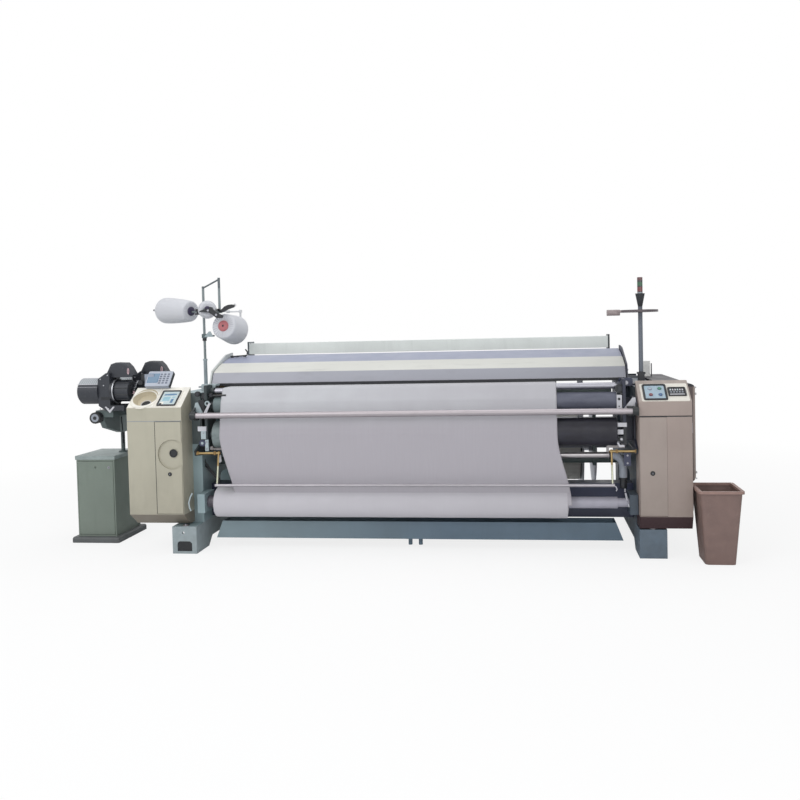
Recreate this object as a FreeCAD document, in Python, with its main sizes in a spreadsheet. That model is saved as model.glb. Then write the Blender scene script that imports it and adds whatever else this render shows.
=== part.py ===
import FreeCAD, Part
import math
import os
import re
import Sketcher

# A water-jet power loom, seen from the weaver's side.
# X runs along the cloth's width, to the right as the weaver sees it.
# Y runs from the weaver to the warp beam at the back, and Z is up.
# The origin is on the floor, in the middle of the four anchor holes of the two side frames.

Vector = FreeCAD.Vector
doc = FreeCAD.newDocument("power_loom")
sheet = doc.addObject("Spreadsheet::Sheet", "Sizes")

# Every size below is in millimetres, or in degrees where the name ends in _angle.
# Distances that end in _y are measured from the cabinets' front faces towards the back.
sizes = {
    # side frames
    "half_span": 1410,
    "frame_width": 165,
    "frame_wall": 16,
    "frame_top": 1040,
    "frame_rear_y": 1330,
    "foot_front_y": 30,
    "foot_rear_y": 1360,
    "foot_height": 178,
    "arch_front_y": 230,
    "arch_rear_y": 1110,
    "arch_height": 60,
    "ear_front_y": 1170,
    "ear_top": 1160,
    "ear_width": 64,
    "anchor_front_y": 105,
    "anchor_pitch": 1150,
    "anchor_radius": 11,
    "foot_port_width": 100,
    "foot_port_height": 65,
    "foot_port_corner": 20,
    "foot_hole_z": 137,
    "foot_hole_radius": 8,
    "foot_hole_offset": 8,
    "low_window_z": 210,
    "low_window_height": 250,
    "high_window_z": 680,
    "high_window_height": 240,
    "window_corner": 45,
    "window_1_y": 460,
    "window_2_y": 800,
    "window_3_y": 860,
    "window_4_y": 1130,
    "window_5_y": 262,
    "window_6_y": 450,
    "window_7_y": 700,
    # shafts and their bearings
    "running_gap": 0.05,
    "slide_gap": 0.8,
    "touch_gap": 0.3,
    "boss_wall": 18,
    "boss_length": 60,
    "sley_shaft_y": 470,
    "sley_shaft_z": 540,
    "sley_shaft_radius": 25,
    "crank_y": 720,
    "crank_z": 600,
    "crank_radius": 22,
    "back_rest_y": 1250,
    "back_rest_z": 1110,
    "back_rest_radius": 60,
    "back_rest_inset": 30,
    "journal_radius": 20,
    "warp_beam_y": 1470,
    "warp_beam_z": 520,
    "beam_journal_radius": 40,
    "beam_arm_thick": 34,
    "beam_arm_half": 85,
    "socket_reach": 50,
    "socket_front_y": 60,
    "socket_half": 62,
    # heald frames and the block that guides them
    "guide_reach": 72,
    "guide_low_z": 790,
    "guide_high_z": 1020,
    "guide_margin": 12,
    "slot_depth": 14,
    "heald_front_y": 500,
    "heald_pitch": 40,
    "heald_thick": 12,
    "heald_low_z": 780,
    "heald_high_z": 1172,
    "heald_rail": 26,
    "heald_stay": 30,
    "heald_wire": 3,
    # warp, cloth and reed
    "cloth_left_inset": 175,
    "cloth_right_inset": 485,
    "cloth_drift": 55,
    "cloth_thick": 1.5,
    "sheet_thick": 2,
    "dent_count": 40,
    "slot_width": 9,
    "dent_width": 5,
    "slot_start_y": 350,
    "slot_end_y": 660,
    "fell_y": 335,
    "reed_y": 410,
    "reed_thick": 12,
    "reed_low_z": 1012,
    "reed_high_z": 1134,
    "reed_rail": 16,
    "sley_beam_height": 34,
    "sley_beam_depth": 60,
    "sley_inset": 120,
    "sword_inset": 230,
    "sword_thick": 20,
    "sword_half": 24,
    # stretchers, trough and top beam
    "stretcher_y": 300,
    "stretcher_depth": 120,
    "stretcher_z": 190,
    "stretcher_height": 220,
    "stretcher_wall": 10,
    "trough_inset": 80,
    "trough_slant": 44,
    "trough_front_y": 170,
    "trough_z": 72,
    "trough_height": 113,
    "trough_wall": 4,
    "trough_strap_x": 900,
    "trough_strap_width": 60,
    "trough_strap_height": 160,
    "nipple_x": 34,
    "nipple_radius": 13,
    "nipple_length": 52,
    "nipple_wall": 3,
    "top_beam_inset": 88,
    "top_beam_y": 870,
    "top_beam_depth": 120,
    "top_beam_z": 1272,
    "top_beam_height": 82,
    "top_beam_wall": 5,
    "top_beam_leg": 12,
    "top_beam_foot": 150,
    # rollers, rail and stop bar
    "roller_y": 120,
    "roller_inset": 122,
    "upper_z": 963,
    "upper_radius": 52,
    "lower_z": 769,
    "lower_radius": 87,
    "breast_y": 130,
    "breast_z": 1053,
    "breast_radius": 20,
    "breast_journal": 11,
    "rail_z": 905,
    "rail_radius": 19,
    "rail_clamp_half": 27,
    "rail_clamp_length": 36,
    "gusset_thick": 12,
    "gusset_apex_y": 105,
    "gusset_top_z": 982,
    "gusset_lap": 76,
    "hanger_low_z": 628,
    "hanger_top_z": 720,
    "bracket_plate": 18,
    "bracket_plate_inset": 85,
    "bracket_inner_inset": 112,
    "bracket_front_y": 62,
    "bracket_rear_y": 206,
    "bracket_low_z": 690,
    "bracket_top_z": 1095,
    "bearing_wall": 12,
    "bracket_rib": 16,
    "pivot_y": 50,
    "pivot_z": 655,
    "pivot_radius": 8,
    "pivot_inset": 165,
    "stop_bar_y": 8,
    "stop_bar_z": 453,
    "stop_bar_radius": 10,
    "stop_arm_radius": 6,
    # cloth roll
    "roll_y": 130,
    "roll_z": 322,
    "roll_radius": 98,
    "roll_left_inset": 88,
    "roll_right_inset": 418,
    "roll_cone": 12,
    "core_radius": 36,
    "core_left_inset": 75,
    "core_right_inset": 120,
    "core_journal": 28,
    "collar_radius": 39,
    # hood
    "hood_inset": 40,
    "hood_front_y": 262,
    "hood_front_z": 1090,
    "hood_knee_y": 300,
    "hood_knee_z": 1168,
    "hood_brow_y": 400,
    "hood_brow_z": 1208,
    "hood_crown_y": 530,
    "hood_crown_z": 1244,
    "hood_rear_y": 668,
    "hood_rear_z": 1270,
    "hood_skirt_z": 1222,
    "hood_sheet": 3,
    "hood_bend": 30,
    "hood_pin_y": 648,
    "hood_pin_z": 1240,
    "hood_pin_radius": 6,
    "hood_plate_thick": 10,
    "hood_plate_gap": 4,
    "hood_plate_lip": 10,
    "hood_plate_rise": 22,
    "hood_foot_width": 96,
    "hood_foot_y": 320,
    # cabinets, doors and desks
    "left_cabinet_offset": 65,
    "left_width": 370,
    "right_cabinet_offset": 2,
    "right_width": 312,
    "cabinet_depth": 160,
    "cabinet_clearance": 7,
    "cabinet_knee": 78,
    "cabinet_top": 873,
    "cabinet_wall": 8,
    "cabinet_lip": 3,
    "hinge_gap": 0.6,
    "left_bevel": 100,
    "right_bevel": 30,
    "door_thick": 18,
    "door_gap": 3,
    "left_split_offset": 183,
    "left_door_width": 177,
    "right_door_width": 160,
    "left_lock_offset": 88,
    "right_lock_offset": 77,
    "dish_offset": 70,
    "dish_radius": 97,
    "dish_depth": 12,
    "dish_z": 655,
    "dish_bore": 25,
    "lock_z": 527,
    "lock_radius": 7,
    "desk_front_z": 960,
    "desk_run": 160,
    "desk_rise": 120,
    "desk_edge": 8,
    "desk_under": 60,
    "cup_offset": 279,
    "cup_along": 104,
    "cup_radius": 82,
    "cup_floor_radius": 62,
    "cup_depth": 38,
    "cup_hole": 30,
    "cup_hole_along": 80,
    "screen_offset": 171,
    "screen_width": 128,
    "screen_along": 14,
    "screen_length": 146,
    "plate_thick": 7,
    "plate_corner": 6,
    "bezel": 9,
    "field_depth": 1.5,
    "button_edge": 2,
    "panel_offset": 34,
    "panel_width": 140,
    "panel_along": 12,
    "panel_length": 140,
    "button_radius": 11,
    "button_gap": 0.08,
    "button_height": 9,
    "button_lift": 3,
    "button_left_offset": 78,
    "button_right_offset": 135,
    "button_low_along": 57,
    "button_high_along": 113,
    "counter_offset": 182,
    "counter_width": 107,
    "counter_along": 46,
    "counter_length": 78,
    # keypad terminal behind the left desk
    "keypad_offset": 305,
    "keypad_width": 172,
    "keypad_y": 125,
    "keypad_z": 1092,
    "keypad_height": 122,
    "keypad_thick": 26,
    "keypad_angle": 50,
    "keypad_bracket_width": 60,
    "keypad_bracket_thick": 8,
    "keypad_bracket_low": 1000,
    "keypad_ear": 44,
    "keypad_ear_y": 172,
    "keypad_ear_z": 1100,
    "keypad_ear_height": 70,
    "keypad_knob": 16,
    # drive side
    "cover_width": 208,
    "cover_front_y": 170,
    "cover_rear_y": 1250,
    "cover_low_z": 443,
    "cover_high_z": 1054,
    "cover_wall": 6,
    "cover_corner": 40,
    "cover_box_width": 50,
    "cover_box_y": 1000,
    "cover_box_depth": 70,
    "cover_box_height": 110,
    "cover_rod_gap": 14,
    "cover_rod_radius": 4,
    "cover_rod_height": 92,
    "pulley_gap": 25,
    "belt_width": 45,
    "belt_thick": 8,
    "belt_slot": 60,
    "crank_end": 5,
    "crank_pulley_radius": 130,
    "motor_pulley_radius": 55,
    "motor_y": 1050,
    "motor_z": 200,
    "motor_radius": 85,
    "motor_length": 190,
    "motor_shaft": 14,
    "motor_foot_half": 75,
    "motor_body_gap": 15,
    "motor_foot_length": 130,
    "crank_disc": 48,
    "crank_throw": 24,
    "crank_disc_thick": 30,
    "pump_z": 500,
    "pump_plate": 12,
    "pump_length": 260,
    "pump_height": 280,
    "pump_width": 120,
    "pump_radius": 60,
    "nozzle_inset": 76,
    "nozzle_y": 375,
    "nozzle_z": 1088,
    "nozzle_radius": 13,
    "nozzle_length": 80,
    "nozzle_arm_z": 1004,
    "nozzle_arm": 20,
    # pedestal box
    "pedestal_offset": 913,
    "box_width": 280,
    "box_y": 300,
    "box_depth": 340,
    "box_height": 535,
    "plinth_height": 40,
    "plinth_lip": 34,
    "plinth_round": 16,
    "lid_height": 27,
    "lid_lip": 6,
    "box_wall": 10,
    "box_door_gap": 2,
    "box_door_thick": 14,
    "box_lock_z": 520,
    # weft feeders
    "post_inset": 248,
    "post_y": 490,
    "post_radius": 14,
    "post_foot": 28,
    "post_foot_thick": 10,
    "head_z": 880,
    "head_height": 46,
    "head_offset": 36,
    "head_width": 76,
    "bar_width": 126,
    "head_front_y": 205,
    "head_rear_y": 520,
    "head_inset": 235,
    "web_front_drop": 122,
    "web_rear_drop": 178,
    "web_nose": 45,
    "web_thick": 38,
    "head_knob": 38,
    "knob_length": 46,
    "feeder_offset": 150,
    "feeder_y": 255,
    "feeder_z": 1056,
    "rear_feeder_shift_x": 145,
    "rear_feeder_shift_y": 195,
    "motor_can_radius": 88,
    "motor_can_length": 150,
    "motor_can_bevel": 12,
    "feeder_body_length": 83,
    "feeder_body_half": 72,
    "feeder_body_top": 126,
    "feeder_body_low": 130,
    "feeder_toe": 50,
    "feeder_toe_rise": 34,
    "feeder_shoulder": 60,
    "feeder_shoulder_z": 86,
    "feeder_base_height": 36,
    "feeder_base_inset": 27,
    "feeder_shaft": 18,
    "drum_radius": 70,
    "drum_length": 98,
    "flyer_radius": 86,
    "flyer_length": 24,
    "flyer_gap": 1,
    "feeder_arm_low": 94,
    "feeder_arm_half": 42,
    "feeder_arm_round": 10,
    "arm_rise": 78,
    "arm_rise_z": 184,
    "arm_crown": 112,
    "arm_crown_z": 195,
    "arm_nose": 177,
    "arm_nose_z": 192,
    "arm_brow": 205,
    "arm_brow_z": 164,
    "arm_tip": 236,
    "arm_tip_z": 109,
    "arm_chin": 226,
    # yarn stand
    "stand_offset": 194,
    "stand_y": 720,
    "stand_radius": 9,
    "stand_top": 1781,
    "stand_plate": 10,
    "stand_plate_offset": 41,
    "stand_plate_inset": 118,
    "stand_plate_depth": 80,
    "sleeve_radius": 13,
    "sleeve_height": 195,
    "stand_pitch": 122,
    "stand_rise": 60,
    "right_post_low": 1600,
    "holder_z": 1597,
    "low_link_z": 1418,
    "link_radius": 6,
    "clamp_half": 15,
    "elbow_half": 10,
    "cone_length": 205,
    "cone_base": 100,
    "cone_nose": 76,
    "cone_shoulder": 150,
    "cone_end": 32,
    "spindle_radius": 6,
    "spindle_tip": 55,
    "left_cone_angle": 18.5,
    "left_cone_reach": 141,
    "middle_cone_angle": 67,
    "middle_cone_size": 0.66,
    "middle_cone_reach": 30,
    "right_cone_inset": 183,
    "right_cone_y": 640,
    "right_cone_z": 1466,
    "right_cone_angle": 82,
    "hanger_y": 885,
    # lamp post
    "lamp_offset": 56,
    "lamp_y": 275,
    "lamp_base_height": 74,
    "lamp_base_half": 19,
    "lamp_flange": 12,
    "lamp_flange_half": 25,
    "lamp_post_radius": 14,
    "disc_z": 1506,
    "disc_radius": 128,
    "disc_shift": 18,
    "spool_radius": 19,
    "spool_length": 62,
    "disc_height": 14,
    "funnel_z": 1542,
    "funnel_height": 82,
    "funnel_radius": 30,
    "tower_radius": 17,
    "tower_height": 102,
    # waste bin
    "bin_offset": 450,
    "bin_y": 15,
    "bin_width": 244,
    "bin_depth": 270,
    "bin_height": 442,
    "bin_foot_width": 176,
    "bin_wall": 4,
    "bin_corner": 22,
    "bin_angle": 0,
    "bin_rim": 9,
    "bin_rim_height": 16,
    # warp beam
    "barrel_radius": 75,
    "yarn_radius": 300,
    "flange_radius": 400,
    "flange_thick": 12,
    "flange_left_inset": 148,
    "flange_right_inset": 252,
    "gear_radius": 335,
    "gear_inset": 154,
    # suction tube across the width and the ribbed hose at its right end
    "suction_y": 150,
    "suction_z": 617,
    "suction_radius": 20,
    "suction_wall": 2,
    "suction_inset": 165,
    "strap_width": 14,
    "strap_half": 13,
    "hose_radius": 26,
    "hose_bore": 21,
    "hose_bend": 72,
    "hose_end_z": 470,
    "rib_count": 14,
    "rib_depth": 3,
    "cuff_low": 408,
    "cuff_radius": 22,
    "rod_radius": 5,
}

# Values that follow from the sizes above.
derived = {
    "back_rest_half": "half_span - back_rest_inset",
    "cloth_left": "half_span - cloth_left_inset",
    "cloth_right": "half_span - cloth_right_inset",
    "sley_half_length": "half_span - sley_inset",
    "sword_x": "half_span - sword_inset",
    "trough_half_length": "half_span - trough_inset",
    "top_beam_half": "half_span - top_beam_inset",
    "roller_half": "half_span - roller_inset",
    "bracket_plate_x": "half_span - bracket_plate_inset",
    "bracket_inner_x": "half_span - bracket_inner_inset",
    "pivot_inner_x": "half_span - pivot_inset",
    "roll_left": "half_span - roll_left_inset",
    "roll_right": "half_span - roll_right_inset",
    "core_left": "half_span - core_left_inset",
    "core_right": "half_span - core_right_inset",
    "hood_half": "half_span - hood_inset",
    "nozzle_x": "half_span - nozzle_inset",
    "flange_left": "half_span - flange_left_inset",
    "flange_right": "half_span - flange_right_inset",
    "gear_x": "half_span - gear_inset",
    "suction_half": "half_span - suction_inset",
    "cabinet_low_z": "foot_height + cabinet_clearance",
    "cabinet_knee_z": "cabinet_low_z + cabinet_knee",
    "left_inner": "half_span + left_cabinet_offset",
    "right_inner": "half_span + right_cabinet_offset",
    "left_split": "left_inner + left_split_offset",
    "left_lock_x": "left_inner + left_lock_offset",
    "dish_x": "left_inner + dish_offset",
    "cup_x": "left_inner + cup_offset",
    "screen_x": "left_inner + screen_offset",
    "keypad_x": "left_inner + keypad_offset",
    "right_lock_x": "right_inner + right_lock_offset",
    "panel_x": "right_inner + panel_offset",
    "button_left_x": "right_inner + button_left_offset",
    "button_right_x": "right_inner + button_right_offset",
    "counter_x": "right_inner + counter_offset",
    "bin_x": "right_inner + bin_offset",
    "lamp_x": "half_span + lamp_offset",
    "stand_x": "half_span + stand_offset",
    "stand_plate_left": "stand_x + stand_plate_offset",
    "stand_plate_right": "stand_x - stand_plate_inset",
    "right_cone_x": "stand_x - right_cone_inset",
    "box_left": "left_inner + pedestal_offset",
    "post_x": "box_left - post_inset",
    "head_left": "post_x + head_offset",
    "head_right": "post_x - head_inset",
    "feeder_x": "post_x + feeder_offset",
    "front_y": "-(anchor_front_y + anchor_pitch / 2)",
    "desk_angle": "atan(desk_rise / desk_run)",
    "frame_outer": "half_span + frame_width",
    "socket_inner": "half_span - socket_reach",
    "guide_inner": "half_span - guide_reach",
    "anchor_rear_y": "anchor_front_y + anchor_pitch",
    "fell_z": "breast_z + breast_radius + touch_gap",
    "heald_rear_y": "heald_front_y + 3 * heald_pitch",
    "dent_pitch": "(cloth_left + cloth_right) / (dent_count + 1)",
    "reed_half": "(cloth_left + cloth_right) / 2 + 12",
    "warp_centre": "(cloth_right - cloth_left) / 2",
    "stop_arm_length": "sqrt((pivot_y - stop_bar_y) ^ 2 + (pivot_z - stop_bar_z) ^ 2)",
    "stop_arm_angle": "atan((pivot_y - stop_bar_y) / (pivot_z - stop_bar_z))",
    "drive_x": "frame_outer + pulley_gap",
    "gusset_x": "half_span - gusset_thick",
    "hood_pin_end": "hood_half + hood_plate_gap + hood_plate_thick",
    "box_top": "plinth_height + box_height + lid_height",
}

row = 0
for name, amount in sizes.items():
    row += 1
    sheet.set("A%d" % row, name)
    sheet.set("B%d" % row, str(amount))
    sheet.setAlias("B%d" % row, name)
doc.recompute()

kept = []


# A formula is written with the sizes' plain names, and this adds the sheet's name to each.
def formula(text):
    def spell(match):
        word = match.group(0)
        if word in derived:
            return "(" + formula(derived[word]) + ")"
        return "Sizes." + word if word in sizes else word
    return re.sub(r"[a-z][a-z0-9_]*", spell, str(text))


def measure(text):
    found = sheet.evalExpression(formula(text))
    return float(getattr(found, "Value", found))


def bind(thing, **formulas):
    for name, text in formulas.items():
        thing.setExpression(name, formula(text))


# Puts a piece at a point given by three formulas, turned about one axis by an angle formula.
def place(thing, at, axis=None, angle="0"):
    if axis is not None:
        thing.Placement = FreeCAD.Placement(Vector(0, 0, 0), FreeCAD.Rotation(Vector(*axis), 10))
        thing.setExpression("Placement.Rotation.Angle", formula(angle))
    spots = (at[0], "front_y + (" + at[1] + ")", at[2])
    for letter, text in zip("xyz", spots):
        thing.setExpression("Placement.Base." + letter, formula(text))


def keep(thing, label):
    thing.Label = label
    kept.append(thing)
    return thing


class Piece:
    # A PartDesign body. Sketches on "side" are drawn in Y and Z and grow towards +X,
    # those on "front" in X and Z and grow towards -Y, and those on "top" in X and Y towards +Z.
    planes = {"side": "YZ_Plane", "front": "XZ_Plane", "top": "XY_Plane"}

    def __init__(self, label, at=("0", "0", "0"), axis=None, angle="0"):
        self.body = doc.addObject("PartDesign::Body", label)
        self.body.Label = label
        place(self.body, at, axis, angle)

    def sketch(self, plane, loops, lift="0"):
        sketch = self.body.newObject("Sketcher::SketchObject", "Sketch")
        role = self.planes[plane]
        support = [each for each in self.body.Origin.OriginFeatures if each.Role == role][0]
        sketch.AttachmentSupport = [(support, "")]
        sketch.MapMode = "FlatFace"
        sketch.setExpression("AttachmentOffset.Base.z", formula(lift))
        for loop in loops:
            if loop[0] == "circle":
                self.add_circle(sketch, *loop[1:])
            else:
                self.add_polygon(sketch, loop)
        return sketch

    def add_circle(self, sketch, across, up, radius):
        centre = Vector(measure(across), measure(up), 0)
        index = sketch.addGeometry(Part.Circle(centre, Vector(0, 0, 1), measure(radius)))
        self.fix_point(sketch, index, 3, across, up)
        rule = sketch.addConstraint(Sketcher.Constraint("Radius", index, measure(radius)))
        sketch.setExpression("Constraints[%d]" % rule, formula(radius))

    def add_polygon(self, sketch, corners):
        points = [Vector(measure(across), measure(up), 0) for across, up in corners]
        first = sketch.GeometryCount
        count = len(points)
        for index, point in enumerate(points):
            sketch.addGeometry(Part.LineSegment(point, points[(index + 1) % count]))
        for index in range(count):
            following = first + (index + 1) % count
            sketch.addConstraint(Sketcher.Constraint("Coincident", first + index, 2, following, 1))
        for index, (across, up) in enumerate(corners):
            self.fix_point(sketch, first + index, 1, across, up)

    def fix_point(self, sketch, index, end, across, up):
        for kind, text in (("DistanceX", across), ("DistanceY", up)):
            rule = Sketcher.Constraint(kind, -1, 1, index, end, measure(text))
            number = sketch.addConstraint(rule)
            sketch.setExpression("Constraints[%d]" % number, formula(text))

    def pad(self, plane, loops, length, lift="0", back=False, both=False):
        pad = self.body.newObject("PartDesign::Pad", "Pad")
        pad.Profile = self.sketch(plane, loops, lift)
        pad.Reversed = back
        pad.Midplane = both
        bind(pad, Length=length)
        return pad

    def pocket(self, plane, loops, length, lift="0", back=False, both=False):
        pocket = self.body.newObject("PartDesign::Pocket", "Pocket")
        pocket.Profile = self.sketch(plane, loops, lift)
        pocket.Reversed = back
        pocket.Midplane = both
        bind(pocket, Length=length)
        return pocket

    def turn(self, plane, loops, axis, groove=False, lift="0"):
        kind = "PartDesign::Groove" if groove else "PartDesign::Revolution"
        turned = self.body.newObject(kind, "Turned")
        profile = self.sketch(plane, loops, lift)
        turned.Profile = profile
        turned.ReferenceAxis = (profile, [axis])
        turned.Angle = 360
        return turned

    # Opens the shape at the faces that the test picks and leaves walls of one thickness.
    def hollow(self, wall, picked):
        doc.recompute()
        base = self.body.Tip
        names = ["Face%d" % (number + 1) for number, face in enumerate(base.Shape.Faces) if picked(face)]
        shell = self.body.newObject("PartDesign::Thickness", "Shell")
        shell.Base = (base, names)
        bind(shell, Value=wall)
        shell.Reversed = True
        return shell

    def soften(self, radius, picked, kind="PartDesign::Fillet"):
        doc.recompute()
        base = self.body.Tip
        names = ["Edge%d" % (number + 1) for number, edge in enumerate(base.Shape.Edges) if picked(edge)]
        softened = self.body.newObject(kind, "Softened")
        softened.Base = (base, names)
        bind(softened, **{"Radius" if kind.endswith("Fillet") else "Size": radius})
        return softened


def span_of(edge):
    box = edge.BoundBox
    return (box.XLength, box.YLength, box.ZLength)


# True for straight edges along one axis: 0 is X, 1 is Y and 2 is Z.
def runs_along(edge, axis):
    spans = span_of(edge)
    others = [spans[index] for index in range(3) if index != axis]
    return spans[axis] > 1 and max(others) < 0.01


# True where an edge along X passes one of the given spots in Y and Z.
def near_any(edge, spots):
    middle = edge.CenterOfMass
    return any(abs(middle.y - y) < 0.1 and abs(middle.z - z) < 0.1 for y, z in spots)


def mirrored(source, label):
    twin = doc.addObject("Part::Mirroring", label)
    twin.Source = source
    twin.Normal = Vector(1, 0, 0)
    twin.Base = Vector(0, 0, 0)
    twin.Label = label
    return twin


def group(label, things):
    compound = doc.addObject("Part::Compound", label)
    compound.Links = things
    return keep(compound, label)


def rectangle(low_across, low_up, high_across, high_up):
    return [(low_across, low_up), (high_across, low_up), (high_across, high_up), (low_across, high_up)]




def block(x, y, z, wide, deep, high):
    solid = doc.addObject("Part::Box", "Block")
    bind(solid, Length=wide, Width=deep, Height=high)
    place(solid, (x, y, z))
    return solid


turns = {"x": ((0, 1, 0), "90"), "y": ((1, 0, 0), "-90"), "z": ((0, 0, 1), "0")}


# A round bar that grows from its start point along X, Y or Z.
def rod(along, x, y, z, radius, length):
    solid = doc.addObject("Part::Cylinder", "Rod")
    bind(solid, Radius=radius, Height=length)
    place(solid, (x, y, z), *turns[along])
    return solid


def join(*things):
    if len(things) == 1:
        return things[0]
    joined = doc.addObject("Part::MultiFuse", "Joined")
    joined.Shapes = list(things)
    joined.Refine = True
    return joined


def carve(base, *tools):
    carved = doc.addObject("Part::Cut", "Carved")
    carved.Base = base
    carved.Tool = join(*tools)
    return carved


def pipe(along, x, y, z, radius, bore, length):
    return carve(rod(along, x, y, z, radius, length), rod(along, x, y, z, bore, length))


def both_sides(thing):
    return [thing, mirrored(thing, thing.Label + "_left")]


# A profile in Y and Z that grows towards +X from one X.
def slab(label, x, length, *loops):
    piece = Piece(label)
    piece.pad("side", list(loops), length, lift=x)
    return piece


# One casting per side: an upright plate with a rim, four windows, bearings and arms.
def side_frames():
    piece = Piece("right_side_frame")
    outline = [
        ("foot_front_y", "0"),
        ("arch_front_y", "0"),
        ("arch_front_y + arch_height", "arch_height"),
        ("arch_rear_y - arch_height", "arch_height"),
        ("arch_rear_y", "0"),
        ("foot_rear_y", "0"),
        ("foot_rear_y", "foot_height"),
        ("frame_rear_y", "foot_height"),
        ("frame_rear_y", "ear_top"),
        ("ear_front_y", "ear_top"),
        ("ear_front_y - 2 * arch_height", "frame_top"),
        ("cabinet_depth", "frame_top"),
        ("cabinet_depth", "foot_height"),
        ("foot_front_y", "foot_height"),
    ]
    low_top = "low_window_z + low_window_height"
    high_top = "high_window_z + high_window_height"
    windows = [
        rectangle("window_1_y", "low_window_z", "window_2_y", low_top),
        rectangle("window_3_y", "low_window_z", "window_4_y", low_top),
        rectangle("window_5_y", "high_window_z", "window_6_y", high_top),
        rectangle("window_7_y", "high_window_z", "window_4_y", high_top),
    ]
    piece.pad("side", [outline] + windows, "frame_width", lift="half_span")
    spots = [(measure(y), measure(z)) for loop in windows for y, z in loop]
    piece.soften("window_corner", lambda edge: runs_along(edge, 0) and near_any(edge, spots))
    outer = measure("frame_outer")
    piece.hollow("frame_wall", lambda face: face.BoundBox.XMin > outer - measure("touch_gap"))
    shafts = [
        ("sley_shaft_y", "sley_shaft_z", "sley_shaft_radius"),
        ("crank_y", "crank_z", "crank_radius"),
        ("back_rest_y", "back_rest_z", "journal_radius"),
    ]
    for y, z, radius in shafts:
        piece.pad("side", [("circle", y, z, radius + " + boss_wall")], "boss_length", lift="half_span")
    socket = rectangle("socket_front_y", "roll_z - socket_half", "cabinet_depth + 4 * frame_wall",
                       "roll_z + socket_half")
    piece.pad("side", [socket], "socket_reach", lift="socket_inner")
    arm = [
        ("frame_rear_y - frame_wall", "warp_beam_z - 2 * beam_arm_half"),
        ("warp_beam_y", "warp_beam_z - beam_arm_half"),
        ("warp_beam_y", "warp_beam_z + beam_arm_half"),
        ("frame_rear_y - frame_wall", "warp_beam_z + 2 * beam_arm_half"),
    ]
    piece.pad("side", [arm], "beam_arm_thick", lift="half_span")
    eye = ("circle", "warp_beam_y", "warp_beam_z", "beam_arm_half")
    piece.pad("side", [eye], "beam_arm_thick", lift="half_span")
    low_y = "heald_front_y - heald_thick / 2 - guide_margin"
    high_y = "heald_rear_y + heald_thick / 2 + guide_margin"
    guide = rectangle(low_y, "guide_low_z", high_y, "guide_high_z")
    piece.pad("side", [guide], "guide_reach + frame_wall", lift="guide_inner")
    for number in range(4):
        y = "heald_front_y + %d * heald_pitch" % number
        half = "(heald_thick / 2 + slide_gap)"
        slot = rectangle(y + " - " + half, "guide_low_z", y + " + " + half, "guide_high_z")
        piece.pocket("side", [slot], "slot_depth", lift="guide_inner", back=True)
    ear = rectangle("ear_front_y - 2 * arch_height", "frame_top + frame_wall", "frame_rear_y + frame_wall",
                    "ear_top + frame_wall")
    piece.pocket("side", [ear], "frame_width", lift="half_span + ear_width", back=True)
    for y, z, radius in shafts:
        bore = ("circle", y, z, radius + " + running_gap")
        piece.pocket("side", [bore], "2 * boss_length", lift="half_span", back=True)
    bore = ("circle", "warp_beam_y", "warp_beam_z", "beam_journal_radius + running_gap")
    piece.pocket("side", [bore], "beam_arm_thick", lift="half_span", back=True)
    bore = ("circle", "roll_y", "roll_z", "core_journal + running_gap")
    piece.pocket("side", [bore], "socket_reach", lift="socket_inner", back=True)
    middle = "half_span + frame_width / 2"
    anchors = [("circle", middle, y, "anchor_radius") for y in ("anchor_front_y", "anchor_rear_y")]
    piece.pocket("top", anchors, "2 * frame_wall", lift="0", back=True)
    keep(piece.body, "right_side_frame")
    middle = "-half_span - frame_width / 2"
    port = Piece("foot_port")
    loop = rectangle(middle + " - foot_port_width / 2", "frame_wall", middle + " + foot_port_width / 2",
                     "frame_wall + foot_port_height")
    port.pad("front", [loop], "3 * frame_wall", lift="-foot_front_y - 2 * frame_wall")
    level = measure("frame_wall + foot_port_height")
    port.soften("foot_port_corner", lambda edge: runs_along(edge, 1) and edge.BoundBox.ZMin > level - 0.1)
    hole = rod("y", middle + " - foot_hole_offset", "foot_front_y - frame_wall", "foot_hole_z",
               "foot_hole_radius", "3 * frame_wall")
    keep(carve(mirrored(piece.body, "frame_twin"), port.body, hole), "left_side_frame")



def front_beam():
    piece = Piece("front_beam")
    rear = "stretcher_y + stretcher_depth"
    top = "stretcher_z + stretcher_height"
    inner = rectangle("stretcher_y + stretcher_wall", "stretcher_z + stretcher_wall",
                      rear + " - stretcher_wall", top + " - stretcher_wall")
    loops = [rectangle("stretcher_y", "stretcher_z", rear, top), inner]
    piece.pad("side", loops, "2 * half_span", lift="-half_span")
    keep(piece.body, "front_beam")


def top_beam():
    beam = Piece("beam")
    rear = "top_beam_y + top_beam_depth"
    top = "top_beam_z + top_beam_height"
    inner = rectangle("top_beam_y + top_beam_wall", "top_beam_z + top_beam_wall",
                      rear + " - top_beam_wall", top + " - top_beam_wall")
    loops = [rectangle("top_beam_y", "top_beam_z", rear, top), inner]
    beam.pad("side", loops, "2 * top_beam_half", lift="-top_beam_half")
    leg = block("top_beam_half", "top_beam_y", "frame_top", "top_beam_leg", "top_beam_depth",
                top + " - frame_top + top_beam_leg")
    foot = block("top_beam_half", "top_beam_y", "frame_top", "top_beam_foot", "top_beam_depth",
                 "top_beam_leg")
    legs = both_sides(join(leg, foot))
    keep(join(beam.body, *legs), "top_beam")


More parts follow.
